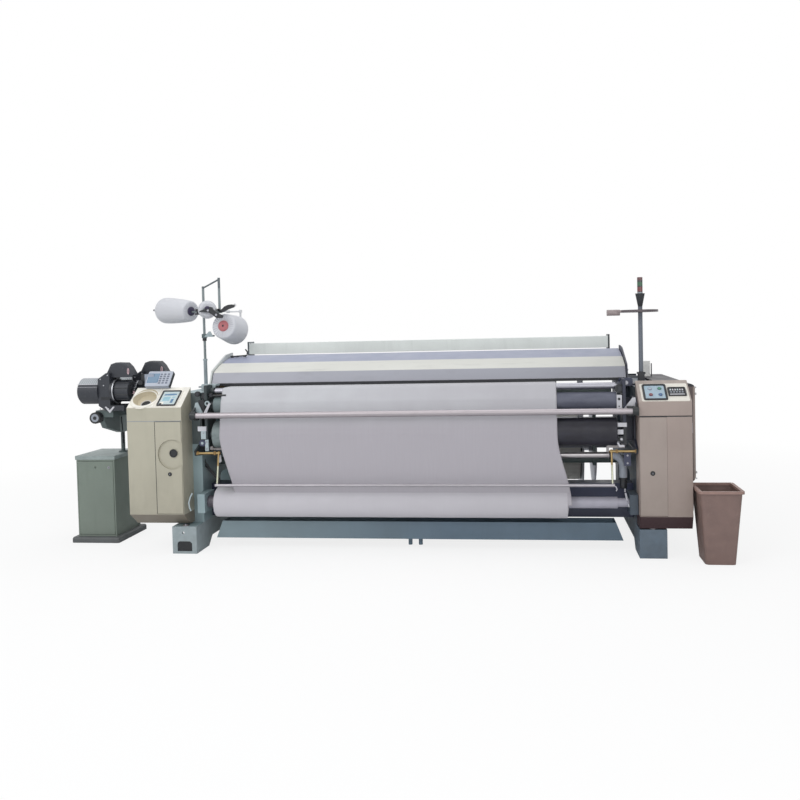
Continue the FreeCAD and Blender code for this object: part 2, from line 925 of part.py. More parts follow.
# An open trough with slanted ends, two drain nipples and straps up to the front beam.
def water_trough():
    piece = Piece("trough")
    top = "trough_z + trough_height"
    ends = [
        ("-trough_half_length", "trough_z"),
        ("trough_half_length", "trough_z"),
        ("trough_half_length - trough_slant", top),
        ("-trough_half_length + trough_slant", top),
    ]
    piece.pad("front", [ends], "stretcher_y - trough_front_y", lift="-stretcher_y")
    level = measure(top)
    piece.hollow("trough_wall", lambda face: face.BoundBox.ZMin > level - measure("touch_gap"))
    straps = []
    nipples = []
    bores = []
    for side in ("-", ""):
        x = side + "trough_strap_x - trough_strap_width / 2"
        straps.append(block(x, "stretcher_y - trough_wall", "trough_z + trough_wall",
                            "trough_strap_width", "trough_wall", "trough_strap_height"))
        spot = (side + "nipple_x", "(trough_front_y + stretcher_y) / 2", "trough_z - nipple_length")
        nipples.append(rod("z", *spot, "nipple_radius", "nipple_length + trough_wall / 2"))
        bores.append(rod("z", *spot, "nipple_radius - nipple_wall", "nipple_length + trough_wall"))
    keep(carve(join(piece.body, *straps, *nipples), *bores), "water_trough")


# A roller that lies along X, with thinner journals at both ends.
def roller(label, y, z, radius, half, journal, journal_half):
    body = rod("x", "-(" + half + ")", y, z, radius, "2 * (" + half + ")")
    shaft = rod("x", "-(" + journal_half + ")", y, z, journal, "2 * (" + journal_half + ")")
    keep(join(body, shaft), label)


def rollers():
    bearing_end = "bracket_plate_x + bracket_plate - 2"
    roller("breast_tube", "breast_y", "breast_z", "breast_radius", "roller_half", "breast_journal",
           bearing_end)
    roller("upper_roller", "roller_y", "upper_z", "upper_radius", "roller_half", "journal_radius",
           bearing_end)
    roller("lower_roller", "roller_y", "lower_z", "lower_radius", "roller_half", "journal_radius",
           bearing_end)
    roller("back_rest", "back_rest_y", "back_rest_z", "back_rest_radius", "back_rest_half",
           "journal_radius", "half_span + boss_length")
    keep(rod("x", "-gusset_x", "0", "rail_z", "rail_radius", "2 * gusset_x"), "front_rail")


# Both brackets carry the rail, the three rollers and the pivots of the stop bar.
def front_brackets():
    outline = [
        ("-rail_radius", "rail_z - rail_clamp_half"),
        ("0", "rail_z + rail_radius"),
        ("gusset_apex_y", "gusset_top_z"),
        ("cabinet_depth", "gusset_top_z"),
        ("cabinet_depth + gusset_lap", "gusset_top_z"),
        ("cabinet_depth + gusset_lap", "hanger_low_z"),
        ("cabinet_depth", "hanger_low_z"),
        ("pivot_y - pivot_radius", "pivot_z - 2 * pivot_radius"),
        ("pivot_y - 2 * pivot_radius", "pivot_z + 2 * pivot_radius"),
        ("cabinet_depth - 2 * gusset_thick", "hanger_top_z"),
        ("cabinet_depth - gusset_thick", "rail_z - rail_clamp_half"),
    ]
    gusset = slab("gusset", "gusset_x", "gusset_thick", outline)
    plate_z = "bracket_low_z"
    plate = block("bracket_plate_x", "bracket_front_y", plate_z, "bracket_plate",
                  "bracket_rear_y - bracket_front_y", "bracket_top_z - bracket_low_z")
    web = block("bracket_plate_x", "bracket_rear_y - bracket_rib", "bracket_low_z + gusset_thick",
                "half_span - bracket_plate_x", "bracket_rib",
                "gusset_top_z - bracket_low_z - 2 * gusset_thick")
    bearings = [
        ("breast_y", "breast_z", "breast_journal"),
        ("roller_y", "upper_z", "journal_radius"),
        ("roller_y", "lower_z", "journal_radius"),
    ]
    solids = [gusset.body, plate, web]
    bores = []
    for y, z, radius in bearings:
        reach = "bracket_plate_x + bracket_plate - bracket_inner_x"
        solids.append(rod("x", "bracket_inner_x", y, z, radius + " + bearing_wall", reach))
        bores.append(rod("x", "bracket_inner_x", y, z, radius + " + running_gap", reach))
    clamp = rod("x", "half_span - rail_clamp_length", "0", "rail_z", "rail_clamp_half", "rail_clamp_length")
    solids.append(clamp)
    bores.append(rod("x", "half_span - rail_clamp_length", "0", "rail_z", "rail_radius + touch_gap",
                     "gusset_x - half_span + rail_clamp_length + touch_gap"))
    bores.append(rod("x", "gusset_x", "pivot_y", "pivot_z", "pivot_radius + running_gap", "gusset_thick"))
    bracket = carve(join(*solids), *bores)
    bracket.Label = "bracket"
    group("front_brackets", both_sides(bracket))


def stop_bar():
    bar = rod("x", "-pivot_inner_x - 3 * stop_arm_radius", "stop_bar_y", "stop_bar_z", "stop_bar_radius",
              "2 * pivot_inner_x + 6 * stop_arm_radius")
    solids = [bar]
    for side in ("-1", "1"):
        x = side + " * (pivot_inner_x + stop_arm_radius)"
        arm = doc.addObject("Part::Cylinder", "Arm")
        bind(arm, Radius="stop_arm_radius", Height="stop_arm_length")
        place(arm, (x, "stop_bar_y", "stop_bar_z"), (1, 0, 0), "-stop_arm_angle")
        inner = "pivot_inner_x - stop_arm_radius / 2"
        start = inner if side == "1" else "-(half_span - 2)"
        solids.append(arm)
        reach = "half_span - 2 - (" + inner + ")"
        solids.append(rod("x", start, "pivot_y", "pivot_z", "pivot_radius", reach))
    keep(join(*solids), "stop_bar")


def cloth_roll():
    piece = Piece("cloth_roll", at=("0", "roll_y", "roll_z"))
    bore = "core_radius + running_gap"
    profile = [
        ("-roll_left", bore),
        ("roll_right", bore),
        ("roll_right - roll_cone", "roll_radius"),
        ("-roll_left", "roll_radius"),
    ]
    piece.turn("front", [profile], "H_Axis")
    keep(piece.body, "cloth_roll")
    solids = [
        rod("x", "-core_left", "roll_y", "roll_z", "core_radius", "core_left + core_right"),
        rod("x", "-(socket_inner - 2)", "roll_y", "roll_z", "collar_radius", "socket_inner - 2 - core_left"),
        rod("x", "-(half_span - 2)", "roll_y", "roll_z", "core_journal", "2 * (half_span - 2)"),
    ]
    keep(join(*solids), "cloth_core")


hood_line = [
    ("hood_front_y", "hood_front_z"),
    ("hood_knee_y", "hood_knee_z"),
    ("hood_brow_y", "hood_brow_z"),
    ("hood_crown_y", "hood_crown_z"),
    ("hood_rear_y", "hood_rear_z"),
]


def hood():
    piece = Piece("hood_shell")
    outline = hood_line + [("hood_rear_y", "hood_skirt_z")]
    piece.pad("side", [outline], "2 * hood_half", lift="-hood_half")
    bends = [(measure(y), measure(z)) for y, z in hood_line[1:4]]
    piece.soften("hood_bend", lambda edge: runs_along(edge, 0) and near_any(edge, bends))
    front = measure("hood_front_y")
    rear = measure("hood_rear_y")
    low = measure("hood_skirt_z")

    def underside(face):
        box = face.BoundBox
        return box.YMin < front + 0.1 and box.YMax > rear - 0.1 and box.ZMax < low + 0.1

    piece.hollow("hood_sheet", underside)
    pins = []
    for start in ("-hood_pin_end", "hood_half - 2 * hood_sheet"):
        length = "hood_pin_end - hood_half + 2 * hood_sheet"
        pins.append(rod("x", start, "hood_pin_y", "hood_pin_z", "hood_pin_radius", length))
    keep(join(piece.body, *pins), "hood")
    lip = " + hood_plate_lip"
    outline = [
        ("hood_front_y - hood_plate_lip", "frame_top"),
        ("hood_front_y - hood_plate_lip", "hood_front_z"),
        ("hood_knee_y - hood_plate_lip", "hood_knee_z" + lip),
        ("hood_brow_y - hood_plate_lip", "hood_brow_z" + lip),
        ("hood_crown_y - hood_plate_rise", "hood_crown_z + hood_plate_rise"),
        ("hood_crown_y + hood_plate_rise", "hood_rear_z + hood_plate_rise / 2"),
        ("hood_rear_y" + lip, "hood_rear_z + hood_plate_rise"),
        ("hood_rear_y" + lip, "frame_top"),
    ]
    bore = ("circle", "hood_pin_y", "hood_pin_z", "hood_pin_radius + running_gap")
    plate = slab("plate", "hood_half + hood_plate_gap", "hood_plate_thick", outline, bore)
    foot = block("hood_half + hood_plate_gap", "hood_foot_y", "frame_top", "hood_foot_width",
                 "hood_rear_y + hood_plate_lip - hood_foot_y", "hood_plate_thick")
    end_plate = join(plate.body, foot)
    end_plate.Label = "end_plate"
    group("hood_plates", both_sides(end_plate))


# One cabinet: a bay behind a fixed panel and a door, with the lower front edge cut back.
def cabinet(label, left, width, bevel, door_left, door_width, hinge_left):
    piece = Piece(label)
    right = left + " + " + width
    outline = [
        ("0", "cabinet_knee_z"),
        ("0", "cabinet_top"),
        ("cabinet_depth", "cabinet_top"),
        ("cabinet_depth", "cabinet_low_z"),
        (bevel, "cabinet_low_z"),
    ]
    piece.pad("side", [outline], width, lift=left)
    bay = rectangle(left + " + cabinet_wall", "cabinet_knee_z + cabinet_wall",
                    right + " - cabinet_wall", "cabinet_top - cabinet_wall")
    piece.pocket("front", [bay], "cabinet_depth - 2 * cabinet_wall", lift="-cabinet_wall")
    low = door_left + (" - hinge_gap" if hinge_left else " - door_gap")
    high = door_left + " + " + door_width + (" + door_gap" if hinge_left else " + hinge_gap")
    opening = rectangle(low, "cabinet_knee_z + cabinet_lip", high, "cabinet_top - cabinet_lip")
    piece.pocket("front", [opening], "door_thick + door_gap")
    keep(piece.body, label)


def door(label, left, width, lock_x, dish=None):
    piece = Piece(label)
    low = "cabinet_knee_z + cabinet_lip + door_gap"
    high = "cabinet_top - cabinet_lip - door_gap"
    piece.pad("front", [rectangle(left, low, left + " + " + width, high)], "door_thick", lift="-door_thick")
    piece.pocket("front", [("circle", lock_x, "lock_z", "lock_radius")], "dish_depth")
    if dish:
        piece.pocket("front", [("circle", dish, "dish_z", "dish_radius")], "dish_depth")
        piece.pocket("front", [("circle", dish + " + lock_radius", "dish_z + lock_radius", "dish_bore")],
                     "2 * door_thick")
    keep(piece.body, label)


def cabinets():
    cabinet("left_cabinet", "-(left_inner + left_width)", "left_width", "left_bevel", "-left_split",
            "left_door_width", True)
    door("left_door", "-left_split", "left_door_width", "-left_lock_x", "-dish_x")
    cabinet("right_cabinet", "right_inner", "right_width", "right_bevel", "right_inner + cabinet_lip",
            "right_door_width", False)
    door("right_door", "right_inner + cabinet_lip", "right_door_width", "right_lock_x")


slope_turn = ((1, 0, 0), "desk_angle")


# A point on the desks' slope: its X, the distance up the slope and the height over it.
def slope(x, along, lift="0"):
    y = "(%s) * cos(desk_angle) - (%s) * sin(desk_angle)" % (along, lift)
    z = "desk_front_z + (%s) * sin(desk_angle) + (%s) * cos(desk_angle)" % (along, lift)
    return (x, y, z)


def desk_body(label, left, width):
    piece = Piece(label)
    outline = [
        ("0", "cabinet_top"),
        ("0", "desk_front_z"),
        ("desk_run", "desk_front_z + desk_rise"),
        ("desk_run", "cabinet_top"),
    ]
    piece.pad("side", [outline], width, lift=left)
    front = [(0, measure("desk_front_z"))]
    piece.soften("desk_edge", lambda edge: runs_along(edge, 0) and near_any(edge, front))
    under = rectangle(left + " + cabinet_wall", "cabinet_wall", left + " + " + width + " - cabinet_wall",
                      "cabinet_depth - cabinet_wall")
    piece.pocket("top", [under], "desk_under", lift="cabinet_top", back=True)
    return piece.body


# A plate on the slope with a raised rim round a lower field.
def slope_plate(x, along, width, length):
    piece = Piece("slope_plate", slope(x, along), *slope_turn)
    piece.pad("top", [rectangle("0", "0", width, length)], "plate_thick")
    piece.soften("plate_corner", lambda edge: runs_along(edge, 2))
    field = rectangle("bezel", "bezel", width + " - bezel", length + " - bezel")
    piece.pocket("top", [field], "field_depth", lift="plate_thick")
    return piece


def desks():
    body = desk_body("left_desk_body", "-(left_inner + left_width)", "left_width")
    cup = doc.addObject("Part::Cone", "Cup")
    bind(cup, Radius1="cup_floor_radius", Radius2="cup_radius", Height="cup_depth")
    place(cup, slope("-cup_x", "cup_along", "-cup_depth"), *slope_turn)
    hole = doc.addObject("Part::Cylinder", "CupHole")
    bind(hole, Radius="cup_hole", Height="2 * cup_depth")
    place(hole, slope("-cup_x", "cup_hole_along", "-2 * cup_depth"), *slope_turn)
    keep(carve(body, cup, hole), "left_desk")
    keep(desk_body("right_desk", "right_inner", "right_width"), "right_desk")
    screen = slope_plate("-screen_x", "screen_along", "screen_width", "screen_length")
    keep(screen.body, "touch_screen")
    counter = slope_plate("counter_x", "counter_along", "counter_width", "counter_length")
    keep(counter.body, "counter")
    panel = slope_plate("panel_x", "panel_along", "panel_width", "panel_length")
    spots = [
        ("grey_button", "button_left_x", "button_high_along"),
        ("green_button", "button_right_x", "button_high_along"),
        ("red_button", "button_left_x", "button_low_along"),
        ("blue_button", "button_right_x", "button_low_along"),
    ]
    bores = [("circle", x + " - panel_x", along + " - panel_along", "button_radius + button_gap")
             for label, x, along in spots]
    panel.pocket("top", bores, "plate_thick", lift="plate_thick")
    keep(panel.body, "button_panel")
    for label, x, along in spots:
        button = Piece(label, slope(x, along, "button_lift"), *slope_turn)
        button.pad("top", [("circle", "0", "0", "button_radius")], "button_height")
        button.soften("button_edge", lambda edge: edge.BoundBox.ZMin > measure("button_height") - 0.1)
        keep(button.body, label)


def keypad_terminal():
    turn = ((1, 0, 0), "keypad_angle")
    face = Piece("keypad", ("-keypad_x", "keypad_y", "keypad_z"), *turn)
    face.pad("top", [rectangle("0", "0", "keypad_width", "keypad_height")], "keypad_thick",
             lift="-keypad_thick")
    face.soften("plate_corner", lambda edge: runs_along(edge, 2))
    field = rectangle("bezel", "3 * bezel", "keypad_width * 0.55", "keypad_height - bezel")
    face.pocket("top", [field], "field_depth")
    arm = block("-keypad_x + keypad_width / 2 - keypad_bracket_width / 2", "cabinet_depth",
                "keypad_bracket_low", "keypad_bracket_width", "keypad_bracket_thick",
                "keypad_z + keypad_bracket_thick - keypad_bracket_low")
    side = block("-keypad_x - keypad_ear", "keypad_ear_y", "keypad_ear_z", "2 * keypad_ear",
                 "keypad_bracket_thick", "keypad_ear_height")
    knob = rod("y", "-keypad_x - keypad_ear", "keypad_ear_y - keypad_knob", "keypad_ear_z + keypad_knob",
               "keypad_knob", "keypad_knob")
    keep(join(face.body, arm, side, knob), "keypad_terminal")



def pedestal():
    piece = Piece("pedestal_box")
    left = "-box_left"
    right = "-box_left + box_width"
    rear = "box_y + box_depth"
    top = "plinth_height + box_height"
    plinth = rectangle(left + " - plinth_lip", "box_y - plinth_lip", right + " + plinth_lip",
                       rear + " + plinth_lip")
    piece.pad("top", [plinth], "plinth_height")
    piece.soften("plinth_round", lambda edge: edge.BoundBox.ZMax > measure("plinth_round"))
    piece.pad("top", [rectangle(left, "box_y", right, rear)], "box_height", lift="plinth_height")
    lid = rectangle(left + " - lid_lip", "box_y - lid_lip", right + " + lid_lip", rear + " + lid_lip")
    piece.pad("top", [lid], "lid_height", lift=top)
    bay = rectangle(left + " + box_wall", "plinth_height + box_wall", right + " - box_wall",
                    top + " - box_wall")
    piece.pocket("front", [bay], "box_depth - box_wall", lift="-box_y")
    keep(piece.body, "pedestal_box")
    piece = Piece("pedestal_door")
    leaf = rectangle(left + " + box_wall + hinge_gap", "plinth_height + box_wall + box_door_gap",
                     right + " - box_wall - box_door_gap", top + " - box_wall - box_door_gap")
    piece.pad("front", [leaf], "box_door_thick", lift="-box_y - box_door_thick")
    lock = ("circle", "-box_left + box_width / 2", "box_lock_z", "lock_radius")
    piece.pocket("front", [lock], "box_door_thick / 2", lift="-box_y")
    keep(piece.body, "pedestal_door")


def feeder_stand():
    web = [
        ("head_front_y + web_nose / 4", "head_z + head_height / 2"),
        ("head_front_y + web_nose / 4", "head_z - web_nose / 2"),
        ("head_front_y + web_nose", "head_z + head_height - web_front_drop"),
        ("post_y - web_nose", "head_z + head_height - web_rear_drop"),
        ("post_y + post_foot", "head_z + head_height - web_rear_drop"),
        ("post_y + post_foot", "head_z + head_height / 2"),
    ]
    head = join(
        rod("z", "-post_x", "post_y", "box_top", "post_foot", "post_foot_thick"),
        rod("z", "-post_x", "post_y", "box_top", "post_radius", "head_z + head_height / 2 - box_top"),
        block("-head_left", "head_front_y", "head_z", "bar_width", "head_rear_y - head_front_y",
              "head_height"),
        block("-head_left", "post_y - head_width / 2", "head_z", "head_left - head_right", "head_width",
              "head_height"),
        rod("y", "-head_left + head_knob / 2", "head_front_y - knob_length", "head_z",
            "head_knob", "knob_length + web_nose"),
        slab("web", "-post_x - web_thick / 2", "web_thick", web).body,
    )
    keep(head, "feeder_stand")


# A weft feeder: motor can, housing with a base, fixed drum and a bent arm over it. Its flyer turns
# round the drum's shaft.
def feeder(name, shift_x, shift_y):
    x = "-feeder_x + " + shift_x
    y = "feeder_y + " + shift_y
    body_x = x + " + motor_can_length"
    flyer_x = body_x + " + feeder_body_length + flyer_gap"
    drum_x = flyer_x + " + flyer_length + flyer_gap"
    end = drum_x + " + drum_length"
    low = "feeder_z - feeder_body_low"
    housing = [
        (body_x, low + " + feeder_toe_rise"),
        (body_x + " + feeder_toe", low),
        (end + " - feeder_base_inset", low),
        (end + " - feeder_base_inset", low + " + feeder_base_height"),
        (body_x + " + feeder_body_length", low + " + feeder_base_height"),
        (body_x + " + feeder_body_length", "feeder_z + feeder_body_top"),
        (body_x + " + feeder_shoulder", "feeder_z + feeder_body_top"),
        (body_x, "feeder_z + feeder_shoulder_z"),
    ]
    arm = [
        (body_x + " + feeder_shoulder / 2", "feeder_z + feeder_arm_low"),
        (body_x + " + arm_chin", "feeder_z + feeder_arm_low"),
        (body_x + " + arm_tip", "feeder_z + arm_tip_z"),
        (body_x + " + arm_brow", "feeder_z + arm_brow_z"),
        (body_x + " + arm_nose", "feeder_z + arm_nose_z"),
        (body_x + " + arm_crown", "feeder_z + arm_crown_z"),
        (body_x + " + arm_rise", "feeder_z + arm_rise_z"),
    ]
    piece = Piece(name + "_feeder")
    piece.pad("side", [("circle", y, "feeder_z", "motor_can_radius")], "motor_can_length", lift=x)
    start = measure(x)
    piece.soften("motor_can_bevel", lambda edge: edge.BoundBox.XMax < start + measure("touch_gap"),
                 "PartDesign::Chamfer")
    lift = "-(" + y + " + feeder_body_half)"
    piece.pad("front", [housing], "2 * feeder_body_half", lift=lift)
    piece.pad("side", [("circle", y, "feeder_z", "feeder_shaft")], end + " - (" + body_x + ")", lift=body_x)
    piece.pad("side", [("circle", y, "feeder_z", "drum_radius")], "drum_length", lift=drum_x)
    lift = "-(" + y + " + feeder_arm_half)"
    piece.pad("front", [arm], "2 * feeder_arm_half", lift=lift)
    level = measure("feeder_z + feeder_body_top + feeder_arm_round")
    piece.soften("feeder_arm_round", lambda edge: edge.BoundBox.ZMax > level and not runs_along(edge, 1))
    keep(piece.body, name + "_feeder")
    ring = pipe("x", flyer_x, y, "feeder_z", "flyer_radius", "feeder_shaft + running_gap", "flyer_length")
    keep(ring, name + "_flyer")


def yarn_cone(at, angle, size):
    piece = Piece("cone", at, (0, 0, 1), angle)
    bore = "spindle_radius + touch_gap"
    profile = [
        ("0", bore),
        ("0", "cone_nose * " + size),
        ("cone_shoulder * " + size, "cone_base * " + size),
        ("(cone_shoulder + cone_length) / 2 * " + size, "cone_base * 0.85 * " + size),
        ("cone_length * " + size, "cone_end * " + size),
        ("cone_length * " + size, bore),
    ]
    piece.turn("front", [profile], "H_Axis")
    return piece.body


def spindle(at, angle, length):
    bar = Piece("spindle", at, (0, 0, 1), angle)
    profile = [("0", "0"), ("0", "spindle_radius"), (length, "spindle_radius"), (length, "0")]
    bar.turn("front", [profile], "H_Axis")
    return bar.body


def yarn_stand():
    left = "-stand_x"
    right = "-stand_x + stand_pitch"
    base = block("-stand_plate_left", "stand_y - stand_plate_depth / 2", "frame_top",
                 "stand_plate_left - stand_plate_right", "stand_plate_depth", "stand_plate")
    link = doc.addObject("Part::Cylinder", "Link")
    bind(link, Radius="link_radius", Height="sqrt(stand_pitch * stand_pitch + stand_rise * stand_rise)")
    place(link, (left, "stand_y", "stand_top - 2 * link_radius"), (0, 1, 0), "atan(stand_pitch / stand_rise)")
    post_top = "stand_top + stand_rise"
    left_turn = "180 - left_cone_angle"
    left_spot = (left, "stand_y", "holder_z")
    middle_turn = "-middle_cone_angle"
    middle_spot = (left, "stand_y", "holder_z + 2 * spindle_radius")
    right_spot = ("-right_cone_x", "right_cone_y", "right_cone_z")
    hanger_x = "-right_cone_x + (hanger_y - right_cone_y) / tan(right_cone_angle)"
    solids = [
        base,
        rod("z", left, "stand_y", "frame_top", "stand_radius", "stand_top - frame_top"),
        rod("z", left, "stand_y", "frame_top", "sleeve_radius", "sleeve_height"),
        rod("z", right, "stand_y", "right_post_low", "stand_radius", post_top + " - right_post_low"),
        link,
        rod("x", left, "stand_y", "holder_z", "link_radius", "stand_pitch"),
        rod("x", left + " - clamp_half", "stand_y", "low_link_z", "link_radius",
            "stand_pitch / 2 + 2 * clamp_half"),
        block(left + " - clamp_half", "stand_y - clamp_half", "low_link_z - clamp_half", "2 * clamp_half",
              "2 * clamp_half", "2 * clamp_half"),
        block(left + " - clamp_half", "stand_y - clamp_half", "holder_z - clamp_half", "2 * clamp_half",
              "2 * clamp_half", "3 * clamp_half"),
        block(right + " - clamp_half", "stand_y - clamp_half", "holder_z - clamp_half", "2 * clamp_half",
              "2 * clamp_half", "2 * clamp_half"),
        spindle(left_spot, left_turn, "left_cone_reach + cone_length + spindle_tip"),
        spindle(middle_spot, middle_turn, "middle_cone_reach + cone_length * middle_cone_size"),
        rod("y", right, "stand_y", "holder_z", "link_radius", "hanger_y - stand_y"),
        rod("x", right, "hanger_y", "holder_z", "link_radius", "(" + hanger_x + ") - (" + right + ")"),
        block(right + " - elbow_half", "hanger_y - elbow_half", "holder_z - elbow_half", "2 * elbow_half",
              "2 * elbow_half", "2 * elbow_half"),
        block(hanger_x + " - elbow_half", "hanger_y - elbow_half", "holder_z - elbow_half", "2 * elbow_half",
              "2 * elbow_half", "2 * elbow_half"),
        rod("z", hanger_x, "hanger_y", "right_cone_z - 2 * spindle_radius", "link_radius * 1.2",
            "holder_z - right_cone_z + 4 * spindle_radius"),
        spindle(right_spot, "right_cone_angle", "(hanger_y - right_cone_y) / sin(right_cone_angle)"),
    ]
    keep(join(*solids), "yarn_stand")
    start = "left_cone_reach"
    left_nose = (left + " - " + start + " * cos(left_cone_angle)",
                 "stand_y + " + start + " * sin(left_cone_angle)", "holder_z")
    start = "(middle_cone_reach + cone_length * middle_cone_size)"
    middle_nose = (left + " + " + start + " * cos(middle_cone_angle)",
                   "stand_y - " + start + " * sin(middle_cone_angle)", "holder_z + 2 * spindle_radius")
    cones = [
        yarn_cone(left_nose, left_turn, "1"),
        yarn_cone(middle_nose, "180 - middle_cone_angle", "middle_cone_size"),
        yarn_cone(right_spot, "right_cone_angle", "1"),
    ]
    group("yarn_cones", cones)


def lamp():
    half = "lamp_base_half"
    flange_z = "frame_top + lamp_base_height"
    funnel = doc.addObject("Part::Cone", "Funnel")
    bind(funnel, Radius1="lamp_post_radius", Radius2="funnel_radius", Height="funnel_height")
    place(funnel, ("lamp_x", "lamp_y", "funnel_z"))
    solids = [
        block("lamp_x - " + half, "lamp_y - " + half, "frame_top", "2 * " + half, "2 * " + half,
              "lamp_base_height"),
        block("lamp_x - lamp_flange_half", "lamp_y - " + half, flange_z, "2 * lamp_flange_half",
              "2 * " + half, "lamp_flange"),
        rod("z", "lamp_x", "lamp_y", flange_z, "lamp_post_radius",
            "funnel_z - frame_top - lamp_base_height + lamp_flange"),
        rod("z", "lamp_x - disc_shift", "lamp_y", "disc_z", "disc_radius", "disc_height"),
        rod("x", "lamp_x - disc_shift - disc_radius - spool_length", "lamp_y", "disc_z", "spool_radius",
            "spool_length + spool_radius"),
        funnel,
    ]
    keep(join(*solids), "lamp_post")
    tower = rod("z", "lamp_x", "lamp_y", "funnel_z + funnel_height", "tower_radius", "tower_height")
    keep(tower, "lamp_tower")


# A tapered bin. It is drawn at its rim and grows down to its foot.
def waste_bin():
    piece = Piece("waste_bin", ("bin_x", "bin_y", "0"), (0, 0, 1), "bin_angle")
    rim = rectangle("-bin_width / 2", "-bin_depth / 2", "bin_width / 2", "bin_depth / 2")
    shell = piece.pad("top", [rim], "bin_height", lift="bin_height", back=True)
    bind(shell, TaperAngle="-atan((bin_width - bin_foot_width) / 2 / bin_height)")
    level = measure("bin_height")
    piece.soften("bin_corner", lambda edge: span_of(edge)[2] > measure("bin_wall"))
    piece.hollow("bin_wall", lambda face: face.BoundBox.ZMin > level - 0.1)
    lip = "bin_rim"
    outer = rectangle("-bin_width / 2 - " + lip, "-bin_depth / 2 - " + lip, "bin_width / 2 + " + lip,
                      "bin_depth / 2 + " + lip)
    inner = rectangle("-bin_width / 2 + bin_corner / 2", "-bin_depth / 2 + bin_corner / 2",
                      "bin_width / 2 - bin_corner / 2", "bin_depth / 2 - bin_corner / 2")
    piece.pad("top", [outer, inner], "bin_rim_height", lift="bin_height - bin_rim_height")
    edge_x = measure("bin_width / 2 + bin_rim / 2")
    piece.soften("bin_corner", lambda edge: runs_along(edge, 2) and abs(edge.BoundBox.Center.x) > edge_x)
    keep(piece.body, "waste_bin")


# The face of a band that wraps the given circles. Every centre lies to the left of its way.
# A stop is (y, z, radius of the band's inner side) and a closed band returns to the first stop.
def band_face(stops, thick, closed=False):
    numbers = [tuple(measure(part) for part in stop) for stop in stops]
    edges = []
    ends = []
    rings = []
    for extra in (0, thick):
        legs = []
        pairs = list(zip(numbers, numbers[1:] + numbers[:1]))
        if not closed:
            pairs.pop()
        for (y1, z1, r1), (y2, z2, r2) in pairs:
            span = math.hypot(y2 - y1, z2 - z1)
            along = ((y2 - y1) / span, (z2 - z1) / span)
            lean = (r1 - r2) / span
            side = math.sqrt(1 - lean * lean)
            out = (along[0] * lean + along[1] * side, along[1] * lean - along[0] * side)
            start = Vector(0, y1 + out[0] * (r1 + extra), z1 + out[1] * (r1 + extra))
            finish = Vector(0, y2 + out[0] * (r2 + extra), z2 + out[1] * (r2 + extra))
            legs.append((start, finish))
        ring = [Part.makeLine(*leg) for leg in legs]
        joints = list(zip(legs, legs[1:] + legs[:1], numbers[1:] + numbers[:1]))
        if not closed:
            joints.pop()
        for (start, finish), (next_start, _), (y, z, radius) in joints:
            first = math.atan2(finish.z - z, finish.y - y)
            last = math.atan2(next_start.z - z, next_start.y - y)
            halfway = first + (last - first) % (2 * math.pi) / 2
            reach = radius + extra
            middle = Vector(0, y + reach * math.cos(halfway), z + reach * math.sin(halfway))
            ring.append(Part.Arc(finish, middle, next_start).toShape())
        edges += ring
        rings.append(Part.Wire(Part.__sortEdges__(ring)))
        ends.append((legs[0][0], legs[-1][1]))
    if closed:
        return Part.Face(rings[1]).cut(Part.Face(rings[0]))
    caps = [Part.makeLine(ends[0][0], ends[1][0]), Part.makeLine(ends[0][1], ends[1][1])]
    return Part.Face(Part.Wire(Part.__sortEdges__(edges + caps)))


def band(label, stops, thick, low_x, high_x, closed=False):
    start = measure(low_x)
    face = band_face(stops, measure(thick), closed)
    solid = face.extrude(Vector(measure(high_x) - start, 0, 0))
    piece = doc.addObject("Part::Feature", label)
    piece.Shape = solid
    piece.Placement = FreeCAD.Placement(Vector(start, measure("front_y"), 0), FreeCAD.Rotation())
    return piece


# Upright gaps, one on each side of every wire, dent or slot line across the warp.
def gap_comb(low_x, high_x, bar, y, z, deep, high, split=None):
    gaps = []
    count = int(measure("dent_count"))
    edge = low_x
    for number in range(1, count + 1):
        line = "(-cloth_left + %d * dent_pitch)" % number
        gaps.append(block(edge, y, z, line + " - " + bar + " / 2 - (" + edge + ")", deep, high))
        edge = line + " + " + bar + " / 2"
    if split:
        gaps.append(block(edge, y, z, split + " - (" + edge + ")", deep, high))
        edge = split + " + heald_stay"
    gaps.append(block(edge, y, z, high_x + " - (" + edge + ")", deep, high))
    comb = doc.addObject("Part::Compound", "Gaps")
    comb.Links = gaps
    return comb


